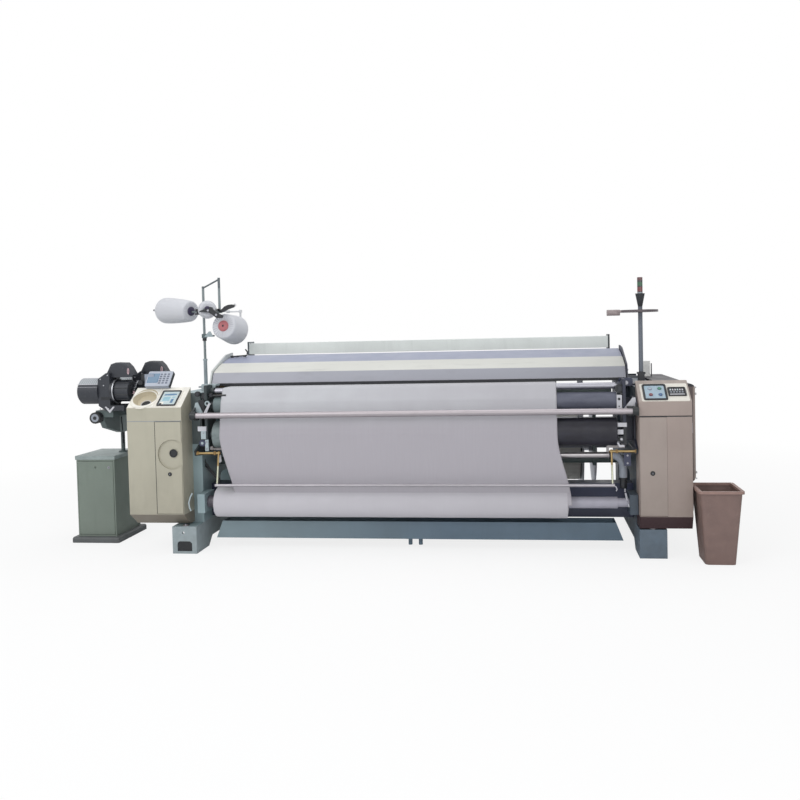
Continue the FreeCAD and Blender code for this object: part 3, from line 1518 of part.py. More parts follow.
def warp_parts():
    start = "-(flange_left - flange_thick)"
    width = "flange_left + flange_right - 2 * flange_thick"
    spot = ("warp_beam_y", "warp_beam_z")
    solids = [
        rod("x", "-flange_left", *spot, "barrel_radius", "flange_left + gear_x"),
        rod("x", "-flange_left", *spot, "flange_radius", "flange_thick"),
        rod("x", "flange_right - flange_thick", *spot, "flange_radius", "flange_thick"),
        rod("x", "gear_x - flange_thick", *spot, "gear_radius", "flange_thick"),
        rod("x", "-(half_span + beam_arm_thick)", *spot, "beam_journal_radius",
            "2 * (half_span + beam_arm_thick)"),
    ]
    keep(join(*solids), "warp_beam")
    keep(pipe("x", start, *spot, "yarn_radius", "barrel_radius + running_gap", width), "warp_yarn")
    stops = [
        ("warp_beam_y", "warp_beam_z", "yarn_radius + touch_gap"),
        ("back_rest_y", "back_rest_z", "back_rest_radius + touch_gap"),
        ("fell_y + touch_gap", "fell_z", "0"),
    ]
    sheet_band = band("sheet_band", stops, "sheet_thick", "-cloth_left", "cloth_right")
    slots = []
    for number in range(1, int(measure("dent_count")) + 1):
        x = "-cloth_left + %d * dent_pitch - slot_width / 2" % number
        slots.append(block(x, "slot_start_y", "fell_z - heald_rail", "slot_width",
                           "slot_end_y - slot_start_y", "4 * heald_rail"))
    comb = doc.addObject("Part::Compound", "Slots")
    comb.Links = slots
    keep(carve(sheet_band, comb), "warp_sheet")
    stops = [
        ("fell_y", "fell_z", "0"),
        ("breast_y", "breast_z", "breast_radius + touch_gap"),
        ("roller_y", "upper_z", "upper_radius + touch_gap"),
        ("roller_y", "lower_z", "lower_radius + touch_gap"),
        ("roll_y", "roll_z", "roll_radius + touch_gap"),
    ]
    cloth_band = band("cloth_band", stops, "cloth_thick", "-2 * cloth_left", "2 * cloth_left")
    outline = [
        ("-cloth_left", "fell_z + roll_radius"),
        ("cloth_right", "fell_z + roll_radius"),
        ("cloth_right", "lower_z"),
        ("cloth_right + cloth_drift", "roll_z"),
        ("cloth_right + cloth_drift", "roll_z - roll_radius"),
        ("-cloth_left + cloth_drift", "roll_z - roll_radius"),
        ("-cloth_left + cloth_drift", "roll_z"),
        ("-cloth_left", "lower_z"),
    ]
    shape = Piece("cloth_shape")
    shape.pad("front", [outline], "2 * fell_y", lift="-2 * fell_y")
    cloth = doc.addObject("Part::Common", "Cloth")
    cloth.Base = cloth_band
    cloth.Tool = shape.body
    keep(cloth, "cloth")


def weaving_parts():
    half = "(guide_inner + slot_depth - 1)"
    first = "heald_front_y - heald_thick / 2"
    gaps = gap_comb("-" + half + " + heald_stay", half + " - heald_stay", "heald_wire",
                    first + " - 1", "heald_low_z + heald_rail", "3 * heald_pitch + heald_thick + 2",
                    "heald_high_z - heald_low_z - 2 * heald_rail", "(cloth_right + 160)")
    for label, numbers in (("odd_heald_frames", (0, 2)), ("even_heald_frames", (1, 3))):
        frames = []
        for number in numbers:
            plate = block("-" + half, first + " + %d * heald_pitch" % number, "heald_low_z", "2 * " + half,
                          "heald_thick", "heald_high_z - heald_low_z")
            frames.append(carve(plate, gaps))
        group(label, frames)
    left = "warp_centre - reed_half"
    reed_plate = block(left, "reed_y - reed_thick / 2", "reed_low_z", "2 * reed_half", "reed_thick",
                       "reed_high_z - reed_low_z")
    gaps = gap_comb(left + " + 8", "warp_centre + reed_half - 8", "dent_width", "reed_y - reed_thick",
                    "reed_low_z + reed_rail", "2 * reed_thick", "reed_high_z - reed_low_z - 2 * reed_rail")
    keep(carve(reed_plate, gaps), "reed")
    beam_low = "reed_low_z - sley_beam_height"
    solids = [
        rod("x", "-(half_span + boss_length)", "sley_shaft_y", "sley_shaft_z", "sley_shaft_radius",
            "2 * (half_span + boss_length)"),
        block("-sley_half_length", "reed_y - sley_beam_depth / 2", beam_low, "2 * sley_half_length",
              "sley_beam_depth", "sley_beam_height"),
    ]
    outline = [
        ("sley_shaft_y - sword_half", "sley_shaft_z"),
        ("sley_shaft_y + sword_half", "sley_shaft_z"),
        ("reed_y + sword_half", beam_low),
        ("reed_y - sword_half", beam_low),
    ]
    for side in ("-1", "1"):
        start = side + " * sword_x - sword_thick / 2"
        solids.append(slab("sword", start, "sword_thick", outline).body)
        solids.append(rod("x", start, "sley_shaft_y", "sley_shaft_z", "sley_shaft_radius + boss_wall",
                          "sword_thick"))
    keep(join(*solids), "sley")


def drive():
    end = "drive_x + belt_width + crank_end"
    solids = [rod("x", "-(half_span + boss_length)", "crank_y", "crank_z", "crank_radius",
                  end + " + half_span + boss_length")]
    for side in ("-1", "1"):
        solids.append(rod("x", side + " * sword_x - crank_disc_thick / 2", "crank_y + crank_throw", "crank_z",
                          "crank_disc", "crank_disc_thick"))
    keep(join(*solids), "crank_shaft")
    keep(pipe("x", "drive_x", "crank_y", "crank_z", "crank_pulley_radius", "crank_radius + running_gap",
              "belt_width"), "drive_pulley")
    keep(pipe("x", "drive_x", "motor_y", "motor_z", "motor_pulley_radius", "motor_shaft + running_gap",
              "belt_width"), "motor_pulley")
    stops = [
        ("crank_y", "crank_z", "crank_pulley_radius + touch_gap"),
        ("motor_y", "motor_z", "motor_pulley_radius + touch_gap"),
    ]
    belt = band("drive_belt", stops, "belt_thick", "drive_x", "drive_x + belt_width", closed=True)
    keep(belt, "drive_belt")
    body_x = "drive_x + belt_width + motor_body_gap"
    motor = join(
        rod("x", "drive_x", "motor_y", "motor_z", "motor_shaft", "belt_width + motor_body_gap + motor_shaft"),
        rod("x", body_x, "motor_y", "motor_z", "motor_radius", "motor_length"),
        block(body_x + " + (motor_length - motor_foot_length) / 2", "motor_y - motor_foot_half", "0",
              "motor_foot_length", "2 * motor_foot_half", "motor_z"),
    )
    keep(motor, "main_motor")
    cover = Piece("cover")
    outline = rectangle("cover_front_y", "cover_low_z", "cover_rear_y", "cover_high_z")
    cover.pad("side", [outline], "cover_width", lift="frame_outer")
    outer = measure("frame_outer + cover_width")
    cover.soften("cover_corner", lambda edge: edge.BoundBox.XMin > outer - 0.1)
    inner = measure("frame_outer")
    cover.hollow("cover_wall", lambda face: face.BoundBox.XMax < inner + 0.1)
    slot = rectangle("drive_x - belt_thick", "crank_y - belt_slot", "drive_x + belt_width + belt_thick",
                     "motor_y - belt_slot / 2")
    cover.pocket("top", [slot], "2 * cover_wall", lift="cover_low_z", back=True)
    low = "cover_high_z - cover_wall / 2"
    box_x = "frame_outer + cover_wall"
    socket = block(box_x, "cover_box_y", low, "cover_box_width", "cover_box_depth",
                   "cover_box_height + cover_wall / 2")
    pole = rod("z", box_x + " + cover_box_width + cover_rod_gap", "cover_box_y + cover_box_depth / 2", low,
               "cover_rod_radius", "cover_rod_height + cover_wall / 2")
    keep(join(cover.body, socket, pole), "side_cover")


def pump_and_nozzle():
    face = "-(frame_outer + pump_plate)"
    centre_y = "cabinet_depth + pump_length / 2"
    pump = join(
        block(face, "cabinet_depth", "pump_z", "pump_plate", "pump_length", "pump_height"),
        rod("x", face + " - pump_width", centre_y, "pump_z + pump_height / 2", "pump_radius", "pump_width"),
        rod("z", face + " - pump_width / 2", centre_y, "pump_z + pump_height / 4", "pump_radius / 2",
            "pump_height"),
    )
    keep(pump, "weft_pump")
    nozzle = join(
        block("-half_span", "nozzle_y - nozzle_arm", "nozzle_arm_z", "half_span - nozzle_x",
              "2 * nozzle_arm", "nozzle_arm"),
        block("-nozzle_x - nozzle_arm", "nozzle_y - nozzle_arm", "nozzle_arm_z", "nozzle_arm",
              "2 * nozzle_arm", "nozzle_z - nozzle_arm_z + nozzle_arm"),
        rod("x", "-nozzle_x - nozzle_arm", "nozzle_y", "nozzle_z", "nozzle_radius",
            "nozzle_length + nozzle_arm"),
    )
    keep(nozzle, "weft_nozzle")


# The suction tube hangs from both brackets; the ribbed hose leads from it to the right bearing.
def suction():
    spot = ("suction_y", "suction_z")
    tube_end = "suction_half + strap_width"
    tube = carve(
        rod("x", "-suction_half", *spot, "suction_radius", "suction_half + " + tube_end),
        rod("x", "-suction_half + suction_wall", *spot, "suction_radius - suction_wall",
            "suction_half + " + tube_end),
    )
    low = "suction_z + suction_radius - suction_wall / 2"
    mid = "bracket_low_z - 2 * strap_half"
    solids = [
        block("suction_half - strap_width", "suction_y - strap_half", low, "strap_width", "2 * strap_half",
              mid + " + strap_half - (" + low + ")"),
        block("suction_half - strap_width", "suction_y - strap_half", mid,
              "bracket_plate_x + bracket_plate - suction_half + strap_width", "2 * strap_half", "strap_half"),
        block("bracket_plate_x", "suction_y - strap_half", mid, "bracket_plate", "2 * strap_half",
              "2 * strap_half"),
    ]
    strap = join(*solids)
    keep(join(tube, *both_sides(strap)), "suction_tube")
    start_x = measure("suction_half + 1")
    y = measure("front_y + suction_y")
    z = measure("suction_z")
    bend = measure("hose_bend")
    straight = measure(tube_end) - start_x
    drop = z - bend - measure("hose_end_z")
    length = straight + bend * math.pi / 2 + drop

    def ring(way, radius):
        if way < straight:
            angle = 0
            centre = Vector(start_x + way, y, z)
        elif way < straight + bend * math.pi / 2:
            angle = (way - straight) / bend
            centre = Vector(start_x + straight + bend * math.sin(angle), y, z - bend + bend * math.cos(angle))
        else:
            angle = math.pi / 2
            centre = Vector(start_x + straight + bend, y, z - bend - (way - straight - bend * math.pi / 2))
        heading = Vector(math.cos(angle), 0, -math.sin(angle))
        circle = Part.Circle(centre, heading, radius)
        circle.XAxis = Vector(0, 1, 0)
        return Part.Wire(circle.toShape())

    count = int(measure("rib_count"))
    pitch = length / count
    outer = measure("hose_radius")
    inner = outer - measure("rib_depth")
    wires = []
    for number in range(count):
        base = number * pitch
        for part, radius in ((0, inner), (0.3, outer), (0.6, outer), (0.9, inner)):
            wires.append(ring(base + part * pitch, radius))
    wires.append(ring(length, inner))
    skin = Part.makeLoft(wires, True, True)
    steps = 2 * count
    bores = [ring(length * number / steps, measure("hose_bore")) for number in range(steps + 1)]
    hose_shape = skin.cut(Part.makeLoft(bores, True, True))
    hose = doc.addObject("Part::Feature", "hose")
    hose.Shape = hose_shape
    x = "suction_half + strap_width + hose_bend"
    cuff = rod("z", x, "suction_y", "cuff_low", "cuff_radius", "hose_end_z - cuff_low")
    link = doc.addObject("Part::Cylinder", "Link")
    bind(link, Radius="rod_radius", Height="cuff_low - roll_z - socket_half + strap_width")
    place(link, (x + " + 2 * rod_radius", "suction_y", "roll_z + socket_half"))
    keep(join(hose, cuff, link), "ribbed_hose")


if __name__ == "__main__":
    side_frames()
    front_beam()
    top_beam()
    water_trough()
    rollers()
    front_brackets()
    stop_bar()
    cloth_roll()
    hood()
    cabinets()
    desks()
    keypad_terminal()
    pedestal()
    feeder_stand()
    feeder("front", "0", "0")
    feeder("rear", "rear_feeder_shift_x", "rear_feeder_shift_y")
    yarn_stand()
    lamp()
    waste_bin()
    warp_parts()
    weaving_parts()
    drive()
    pump_and_nozzle()
    suction()
    doc.recompute()
    faults = [thing.Label for thing in doc.Objects if "Invalid" in thing.State or "Error" in thing.State]
    faults += [thing.Label for thing in kept if thing.Shape.isNull() or not thing.Shape.isValid()]
    if faults:
        raise RuntimeError("not valid: " + ", ".join(faults))
    os.makedirs("parts", exist_ok=True)
    for thing in kept:
        thing.Shape.exportStep("parts/%s.step" % thing.Label)
    print(len(kept), "nodes written")
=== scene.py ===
import math
import random

import bmesh
import bpy
from mathutils import Matrix, Vector


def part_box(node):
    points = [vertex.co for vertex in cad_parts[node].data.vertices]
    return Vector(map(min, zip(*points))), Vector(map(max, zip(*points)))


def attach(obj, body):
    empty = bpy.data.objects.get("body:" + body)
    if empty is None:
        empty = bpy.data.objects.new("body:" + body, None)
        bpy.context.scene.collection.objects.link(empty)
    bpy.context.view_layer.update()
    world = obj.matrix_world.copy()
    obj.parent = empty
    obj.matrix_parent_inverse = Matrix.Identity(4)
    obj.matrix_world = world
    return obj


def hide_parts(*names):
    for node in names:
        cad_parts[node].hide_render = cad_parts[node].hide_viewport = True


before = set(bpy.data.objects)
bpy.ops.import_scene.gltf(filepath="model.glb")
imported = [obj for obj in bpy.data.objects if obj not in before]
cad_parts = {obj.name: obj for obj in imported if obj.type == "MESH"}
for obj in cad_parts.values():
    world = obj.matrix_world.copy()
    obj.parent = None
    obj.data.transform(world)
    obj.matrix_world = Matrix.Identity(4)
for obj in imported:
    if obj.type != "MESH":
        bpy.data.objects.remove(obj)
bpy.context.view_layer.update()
print("loom loaded:", len(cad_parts), "nodes")

frontPlane = 680
fullTurn = 2 * math.pi
toFront, toBack, toLeft, toRight, toTop, toFloor = (
    (0, -1, 0), (0, 1, 0), (-1, 0, 0), (1, 0, 0), (0, 0, 1), (0, 0, -1))


# Places are written in mm, with y counted back from the front plane of the cabinets.
def at(x, y, z):
    return Vector((x / 1000, (y - frontPlane) / 1000, z / 1000))


# Colours are written as they look on a screen, 0 to 255.
def tone(red, green, blue):
    parts = [c / 255 for c in (red, green, blue)]
    return tuple(((p + 0.055) / 1.055) ** 2.4 if p > 0.04 else p / 12.92 for p in parts) + (1.0,)


def shade(colour, factor):
    return tuple(min(1.0, c * factor) for c in colour[:3]) + (1.0,)


def startFinish(name):
    finish = bpy.data.materials.new(name)
    finish.use_nodes = True
    return finish, finish.node_tree


def feed(tree, socket, value):
    if isinstance(value, (int, float, tuple)):
        socket.default_value = value
    else:
        tree.links.new(value, socket)


def texturePlace(tree, scale=(1, 1, 1), source="Object"):
    coords = tree.nodes.new("ShaderNodeTexCoord")
    mapping = tree.nodes.new("ShaderNodeMapping")
    mapping.inputs["Scale"].default_value = scale
    tree.links.new(coords.outputs[source], mapping.inputs["Vector"])
    return mapping.outputs["Vector"]


def patches(tree, size, detail=2.0, stretch=(1, 1, 1), source="Object"):
    noise = tree.nodes.new("ShaderNodeTexNoise")
    noise.inputs["Scale"].default_value = 1.0
    noise.inputs["Detail"].default_value = detail
    tree.links.new(texturePlace(tree, [s / size for s in stretch], source), noise.inputs["Vector"])
    return noise.outputs["Fac"]


def waves(tree, direction, scale, distortion, detail=2.0, source="UV", lean=0):
    wave = tree.nodes.new("ShaderNodeTexWave")
    wave.bands_direction = direction
    for key, value in (("Scale", scale), ("Distortion", distortion), ("Detail", detail)):
        wave.inputs[key].default_value = value
    place = texturePlace(tree, source=source)
    place.node.inputs["Rotation"].default_value = (0, 0, lean)
    tree.links.new(place, wave.inputs["Vector"])
    return wave.outputs["Fac"]


def fade(tree, value, low, high, start=0.0, end=1.0):
    node = tree.nodes.new("ShaderNodeMapRange")
    for key, number in (("From Min", low), ("From Max", high), ("To Min", start), ("To Max", end)):
        node.inputs[key].default_value = number
    tree.links.new(value, node.inputs["Value"])
    return node.outputs["Result"]


def sums(tree, kind, first, second=0):
    node = tree.nodes.new("ShaderNodeMath")
    node.operation = kind
    for socket, value in zip(node.inputs, (first, second)):
        feed(tree, socket, value)
    return node.outputs[0]


def blendTones(tree, share, first, second):
    node = tree.nodes.new("ShaderNodeMix")
    node.data_type = "RGBA"
    for number, value in ((0, share), (6, first), (7, second)):
        feed(tree, node.inputs[number], value)
    return node.outputs[2]


# Two shades of one colour in soft clouds.
def mottled(tree, colour, noise, darker, lighter):
    return blendTones(tree, fade(tree, patches(tree, *noise), 0.3, 0.7), shade(colour, darker), shade(colour, lighter))


# Patches of another colour over the body: noise is (size, detail, stretch, source).
def overlay(tree, body, cover, noise, low, high, most):
    return blendTones(tree, fade(tree, patches(tree, *noise), low, high, 0, most), body, cover)


def axisParts(tree, source="Object"):
    split = tree.nodes.new("ShaderNodeSeparateXYZ")
    coords = tree.nodes.new("ShaderNodeTexCoord")
    tree.links.new(coords.outputs[source], split.inputs[0])
    return split.outputs


def within(tree, ranges):
    share = 1.0
    for axis, low, high in ranges:
        place = axisParts(tree)[axis]
        for kind, limit in (("GREATER_THAN", low), ("LESS_THAN", high)):
            share = sums(tree, "MULTIPLY", share, sums(tree, kind, place, limit))
    return share


# A zone is another colour between planes: (colour, (axis, low, high) in metres, more ranges for a corner).
def paintZones(tree, body, zones):
    for colour, *ranges in zones:
        worn = mottled(tree, tone(*colour), (0.05, 4), 0.9, 1.1)
        body = blendTones(tree, within(tree, ranges), body, worn)
    return body


# Gloss is a plain roughness or (noise size, detail, low, high, roughness there, roughness here).
def endFinish(finish, tree, body, gloss, heights, **plain):
    surface = tree.nodes["Principled BSDF"]
    tree.links.new(body, surface.inputs["Base Color"])
    if isinstance(gloss, tuple):
        size, detail, *ends = gloss
        gloss = fade(tree, patches(tree, size, detail), *ends)
    feed(tree, surface.inputs["Roughness"], gloss)
    for key, value in plain.items():
        feed(tree, surface.inputs[key.replace("_", " ")], value)
    last = None
    for height, strength, distance in heights:
        bump = tree.nodes.new("ShaderNodeBump")
        bump.inputs["Strength"].default_value = strength
        bump.inputs["Distance"].default_value = distance
        tree.links.new(height, bump.inputs["Height"])
        if last:
            tree.links.new(last, bump.inputs["Normal"])
        last = bump.outputs["Normal"]
    tree.links.new(last, surface.inputs["Normal"])
    return finish


# Machine paint: clouds, thin streaks, specks, and dust that gathers low down. One end along x can be painted paler as
# painted light.
def paintFinish(name, colour, gloss=0.42, mottle=0.1, peel=0.12, grain=0.004, dust=0.25, zones=(), litEnd=None):
    finish, tree = startFinish(name)
    body = mottled(tree, colour, (0.28, 4), 1 - mottle, 1 + mottle)
    body = overlay(tree, body, shade(colour, 0.86), (0.035, 3, (1, 1, 0.1)), 0.52, 0.75, 0.35)
    body = overlay(tree, body, shade(colour, 0.7), (0.006, 1), 0.66, 0.74, 0.3)
    body = paintZones(tree, body, zones)
    if litEnd:
        litTone, low, high, share = litEnd
        body = blendTones(tree, fade(tree, axisParts(tree)["X"], low, high, share, 0), body, tone(*litTone))
    dusty = fade(tree, axisParts(tree)["Z"], 0.0, 0.5, dust, 0)
    body = blendTones(tree, sums(tree, "MULTIPLY", dusty, patches(tree, 0.09, 4)), body, tone(96, 88, 78))
    heights = [(patches(tree, grain), peel, 0.0006), (patches(tree, 0.15), 0.06, 0.004)]
    return endFinish(finish, tree, body, (0.12, 3, 0.25, 0.75, gloss - 0.07, gloss + 0.1), heights)


def metalFinish(name, colour, gloss=0.28, lines=(1, 40, 40), size=0.05, tarnish=0.2, zones=()):
    finish, tree = startFinish(name)
    brushed = patches(tree, size, 4, lines)
    body = blendTones(tree, fade(tree, brushed, 0.3, 0.7), shade(colour, 0.86), shade(colour, 1.08))
    body = overlay(tree, body, shade(colour, 0.45), (0.06, 4), 0.5, 0.8, tarnish)
    body = paintZones(tree, body, zones)
    rough = fade(tree, brushed, 0.2, 0.8, gloss - 0.06, gloss + 0.14)
    return endFinish(finish, tree, body, rough, [(brushed, 0.12, 0.0004)], Metallic=1.0)


def plasticFinish(name, colour, gloss=0.35, grain=0.0015, depth=0.1, mottle=0.06, coat=0.0, zones=()):
    finish, tree = startFinish(name)
    body = mottled(tree, colour, (0.07, 3), 1 - mottle, 1 + mottle)
    scuffed = tuple(0.7 * c + 0.12 for c in colour[:3]) + (1.0,)
    body = overlay(tree, body, scuffed, (0.012, 4, (1, 0.25, 1)), 0.62, 0.78, 0.3)
    body = paintZones(tree, body, zones)
    rough = (0.02, 3, 0.3, 0.7, gloss - 0.05, gloss + 0.1)
    return endFinish(finish, tree, body, rough, [(patches(tree, grain), depth, 0.0003)], Coat_Weight=coat)


# Rubber cover of the two big rollers, with turned grooves and dust; the left end is paler than the rest.
def rollerFinish(name, colour, dusty, pitch, pale, paleEnd=-1.15):
    finish, tree = startFinish(name)
    grooves = waves(tree, "X", 1 / pitch, 0.4, source="Object")
    body = overlay(tree, colour, tone(*dusty), (0.05, 5, (0.3, 1, 1)), 0.42, 0.75, 0.55)
    body = overlay(tree, body, tone(*dusty), (0.005, 2), 0.6, 0.7, 0.4)
    worn = fade(tree, patches(tree, 0.03, 4), 0.2, 0.5, 0.5, 0.9)
    leftEnd = sums(tree, "LESS_THAN", axisParts(tree)["X"], paleEnd)
    body = blendTones(tree, sums(tree, "MULTIPLY", worn, leftEnd), body, tone(*pale))
    heights = [(grooves, 0.25, 0.0008), (patches(tree, 0.004), 0.3, 0.0006)]
    return endFinish(finish, tree, body, (0.09, 3, 0.3, 0.7, 0.42, 0.62), heights)


# Flyer: dark, with a bright rolled rim outside a radius and beyond an edge along x.
def flyerFinish(name, colour, edge, y, z, rimStart=0.0795):
    finish, tree = startFinish(name)
    sides = axisParts(tree)
    squares = [sums(tree, "POWER", sums(tree, "SUBTRACT", sides[axis], place), 2)
               for axis, place in (("Y", y), ("Z", z))]
    rim = sums(tree, "GREATER_THAN", sums(tree, "SQRT", sums(tree, "ADD", *squares)), rimStart)
    rim = sums(tree, "MULTIPLY", rim, sums(tree, "GREATER_THAN", sides["X"], edge))
    cloudy = fade(tree, patches(tree, 0.03, 4), 0.3, 0.7)
    dark = blendTones(tree, cloudy, colour, tone(52, 54, 60))
    bright = blendTones(tree, cloudy, tone(180, 182, 188), tone(214, 216, 220))
    body = blendTones(tree, rim, dark, bright)
    rough = (0.02, 3, 0.3, 0.7, 0.28, 0.42)
    metal = sums(tree, "MULTIPLY", rim, 0.9)
    return endFinish(finish, tree, body, rough, [(patches(tree, 0.004), 0.1, 0.0004)], Metallic=metal)


# The hood's one paint is drawn in three long stripes, one tone for each face of the folded sheet as painted light and
# shade, and is painted brighter at its left end as painted light.
def hoodFinish(name, colour, cream, lavender, creamStart, lavenderStart, edge=0.0012):
    finish, tree = startFinish(name)
    back = axisParts(tree)["Y"]
    body = blendTones(tree, fade(tree, back, creamStart - edge, creamStart), colour, tone(*cream))
    body = blendTones(tree, fade(tree, back, lavenderStart - edge, lavenderStart), body, tone(*lavender))
    # Painted light: the tone is scaled up towards the hood's left end.
    across = fade(tree, axisParts(tree)["X"], -1.4, 1.4, 1.12, 0.95)
    cloudy = fade(tree, patches(tree, 0.4, 4, (0.4, 1, 1)), 0.3, 0.7, 0.95, 1.05)
    scale = tree.nodes.new("ShaderNodeVectorMath")
    scale.operation = "SCALE"
    feed(tree, scale.inputs[0], body)
    feed(tree, scale.inputs["Scale"], sums(tree, "MULTIPLY", across, cloudy))
    body = overlay(tree, scale.outputs[0], tone(120, 118, 120), (0.05, 5, (0.3, 1, 1)), 0.55, 0.8, 0.18)
    heights = [(patches(tree, 0.004), 0.1, 0.0005), (patches(tree, 0.3), 0.1, 0.01)]
    return endFinish(finish, tree, body, (0.1, 3, 0.3, 0.7, 0.34, 0.5), heights)


# Cabinet paint: a powder coat with grime low down, a darker band on the bevel below kickTop, and painted shade in the
# cup's recess below the desk's slope.
def cabinetFinish(name, colour, kick, kickTop=0.263, zones=(), recessShade=None):
    finish, tree = startFinish(name)
    body = mottled(tree, colour, (0.3, 4), 0.93, 1.07)
    body = overlay(tree, body, shade(colour, 0.82), (0.04, 4, (1, 1, 0.12)), 0.5, 0.75, 0.3)
    sides = axisParts(tree)
    grime = sums(tree, "MULTIPLY", fade(tree, sides["Z"], 0.25, 0.6, 0.4, 0), patches(tree, 0.08, 4))
    body = blendTones(tree, grime, body, tone(104, 92, 80))
    body = blendTones(tree, fade(tree, sides["Z"], kickTop - 0.0008, kickTop, 1, 0), body, tone(*kick))
    body = paintZones(tree, body, zones)
    # Painted shade: points below the desk's slope inside the given ranges take the darker recess tone.
    if recessShade:
        rise, fall = (sums(tree, "MULTIPLY", sides[axis], share) for axis, share in (("Z", 0.8), ("Y", 0.6)))
        inside = sums(tree, "LESS_THAN", sums(tree, "SUBTRACT", rise, fall), recessShade["level"])
        inside = sums(tree, "MULTIPLY", inside, within(tree, recessShade["ranges"]))
        body = blendTones(tree, inside, body, tone(*recessShade["colour"]))
    heights = [(patches(tree, 0.0035), 0.14, 0.0005), (patches(tree, 0.2), 0.08, 0.006)]
    return endFinish(finish, tree, body, (0.1, 3, 0.3, 0.7, 0.4, 0.56), heights)


# Woven cloth: UV runs in metres, u across the width and v along the piece.
def clothFinish(name, colour, shadedTone, shadeStart, shadeEnd, warpPitch=0.0011, weftPitch=0.0013, threadScale=0.314):
    finish, tree = startFinish(name)
    threads = sums(tree, "MULTIPLY", *[waves(tree, direction, threadScale / pitch, 0.6, 1.0)
                                       for direction, pitch in (("X", warpPitch), ("Y", weftPitch))])
    shadedTone = tone(*shadedTone)
    across, along, _ = axisParts(tree, "UV")
    # Painted shade: the colour fades to the darker tone along v between the two given ends (on the cloth, its lower
    # part below the lower roller), and half way to it towards the right side.
    body = blendTones(tree, fade(tree, along, shadeStart, shadeEnd), colour, shadedTone)
    body = blendTones(tree, fade(tree, across, 0.2, 2.1, 0, 0.5), body, shade(shadedTone, 0.97))
    body = overlay(tree, body, shade(shadedTone, 0.93), (0.05, 3, (0.2, 1, 1), "UV"), 0.35, 0.65, 0.08)
    body = overlay(tree, body, shade(colour, 1.05), (0.01, 3, (1, 0.05, 1), "UV"), 0.4, 0.7, 0.06)
    body = overlay(tree, body, shade(shadedTone, 0.96), (0.35, 3, (1, 1, 1), "UV"), 0.35, 0.65, 0.3)
    body = blendTones(tree, fade(tree, threads, 0, 1, 0.1, 0), body, shade(shadedTone, 0.75))
    heights = [(threads, 0.35, 0.0004), (patches(tree, 0.02, 3, (1, 0.4, 1), "UV"), 0.12, 0.002)]
    return endFinish(finish, tree, body, 0.8, heights, Sheen_Weight=0.25, Sheen_Roughness=0.4)


# Yarn packages: UV is (turns round, metres along), so the thread winds as it does on a cone.
def yarnFinish(name, colour, low, turns, slope=0.25):
    finish, tree = startFinish(name)
    threads = sums(tree, "MAXIMUM", *[waves(tree, "Y", turns, 1.2, lean=lean) for lean in (slope, -slope)])
    body = blendTones(tree, fade(tree, threads, 0.2, 0.9), tone(*low), colour)
    body = overlay(tree, body, shade(colour, 0.9), (0.03, 3), 0.4, 0.7, 0.3)
    heights = [(threads, 0.5, 0.0008), (patches(tree, 0.004), 0.2, 0.0005)]
    return endFinish(finish, tree, body, 0.75, heights, Sheen_Weight=0.2)


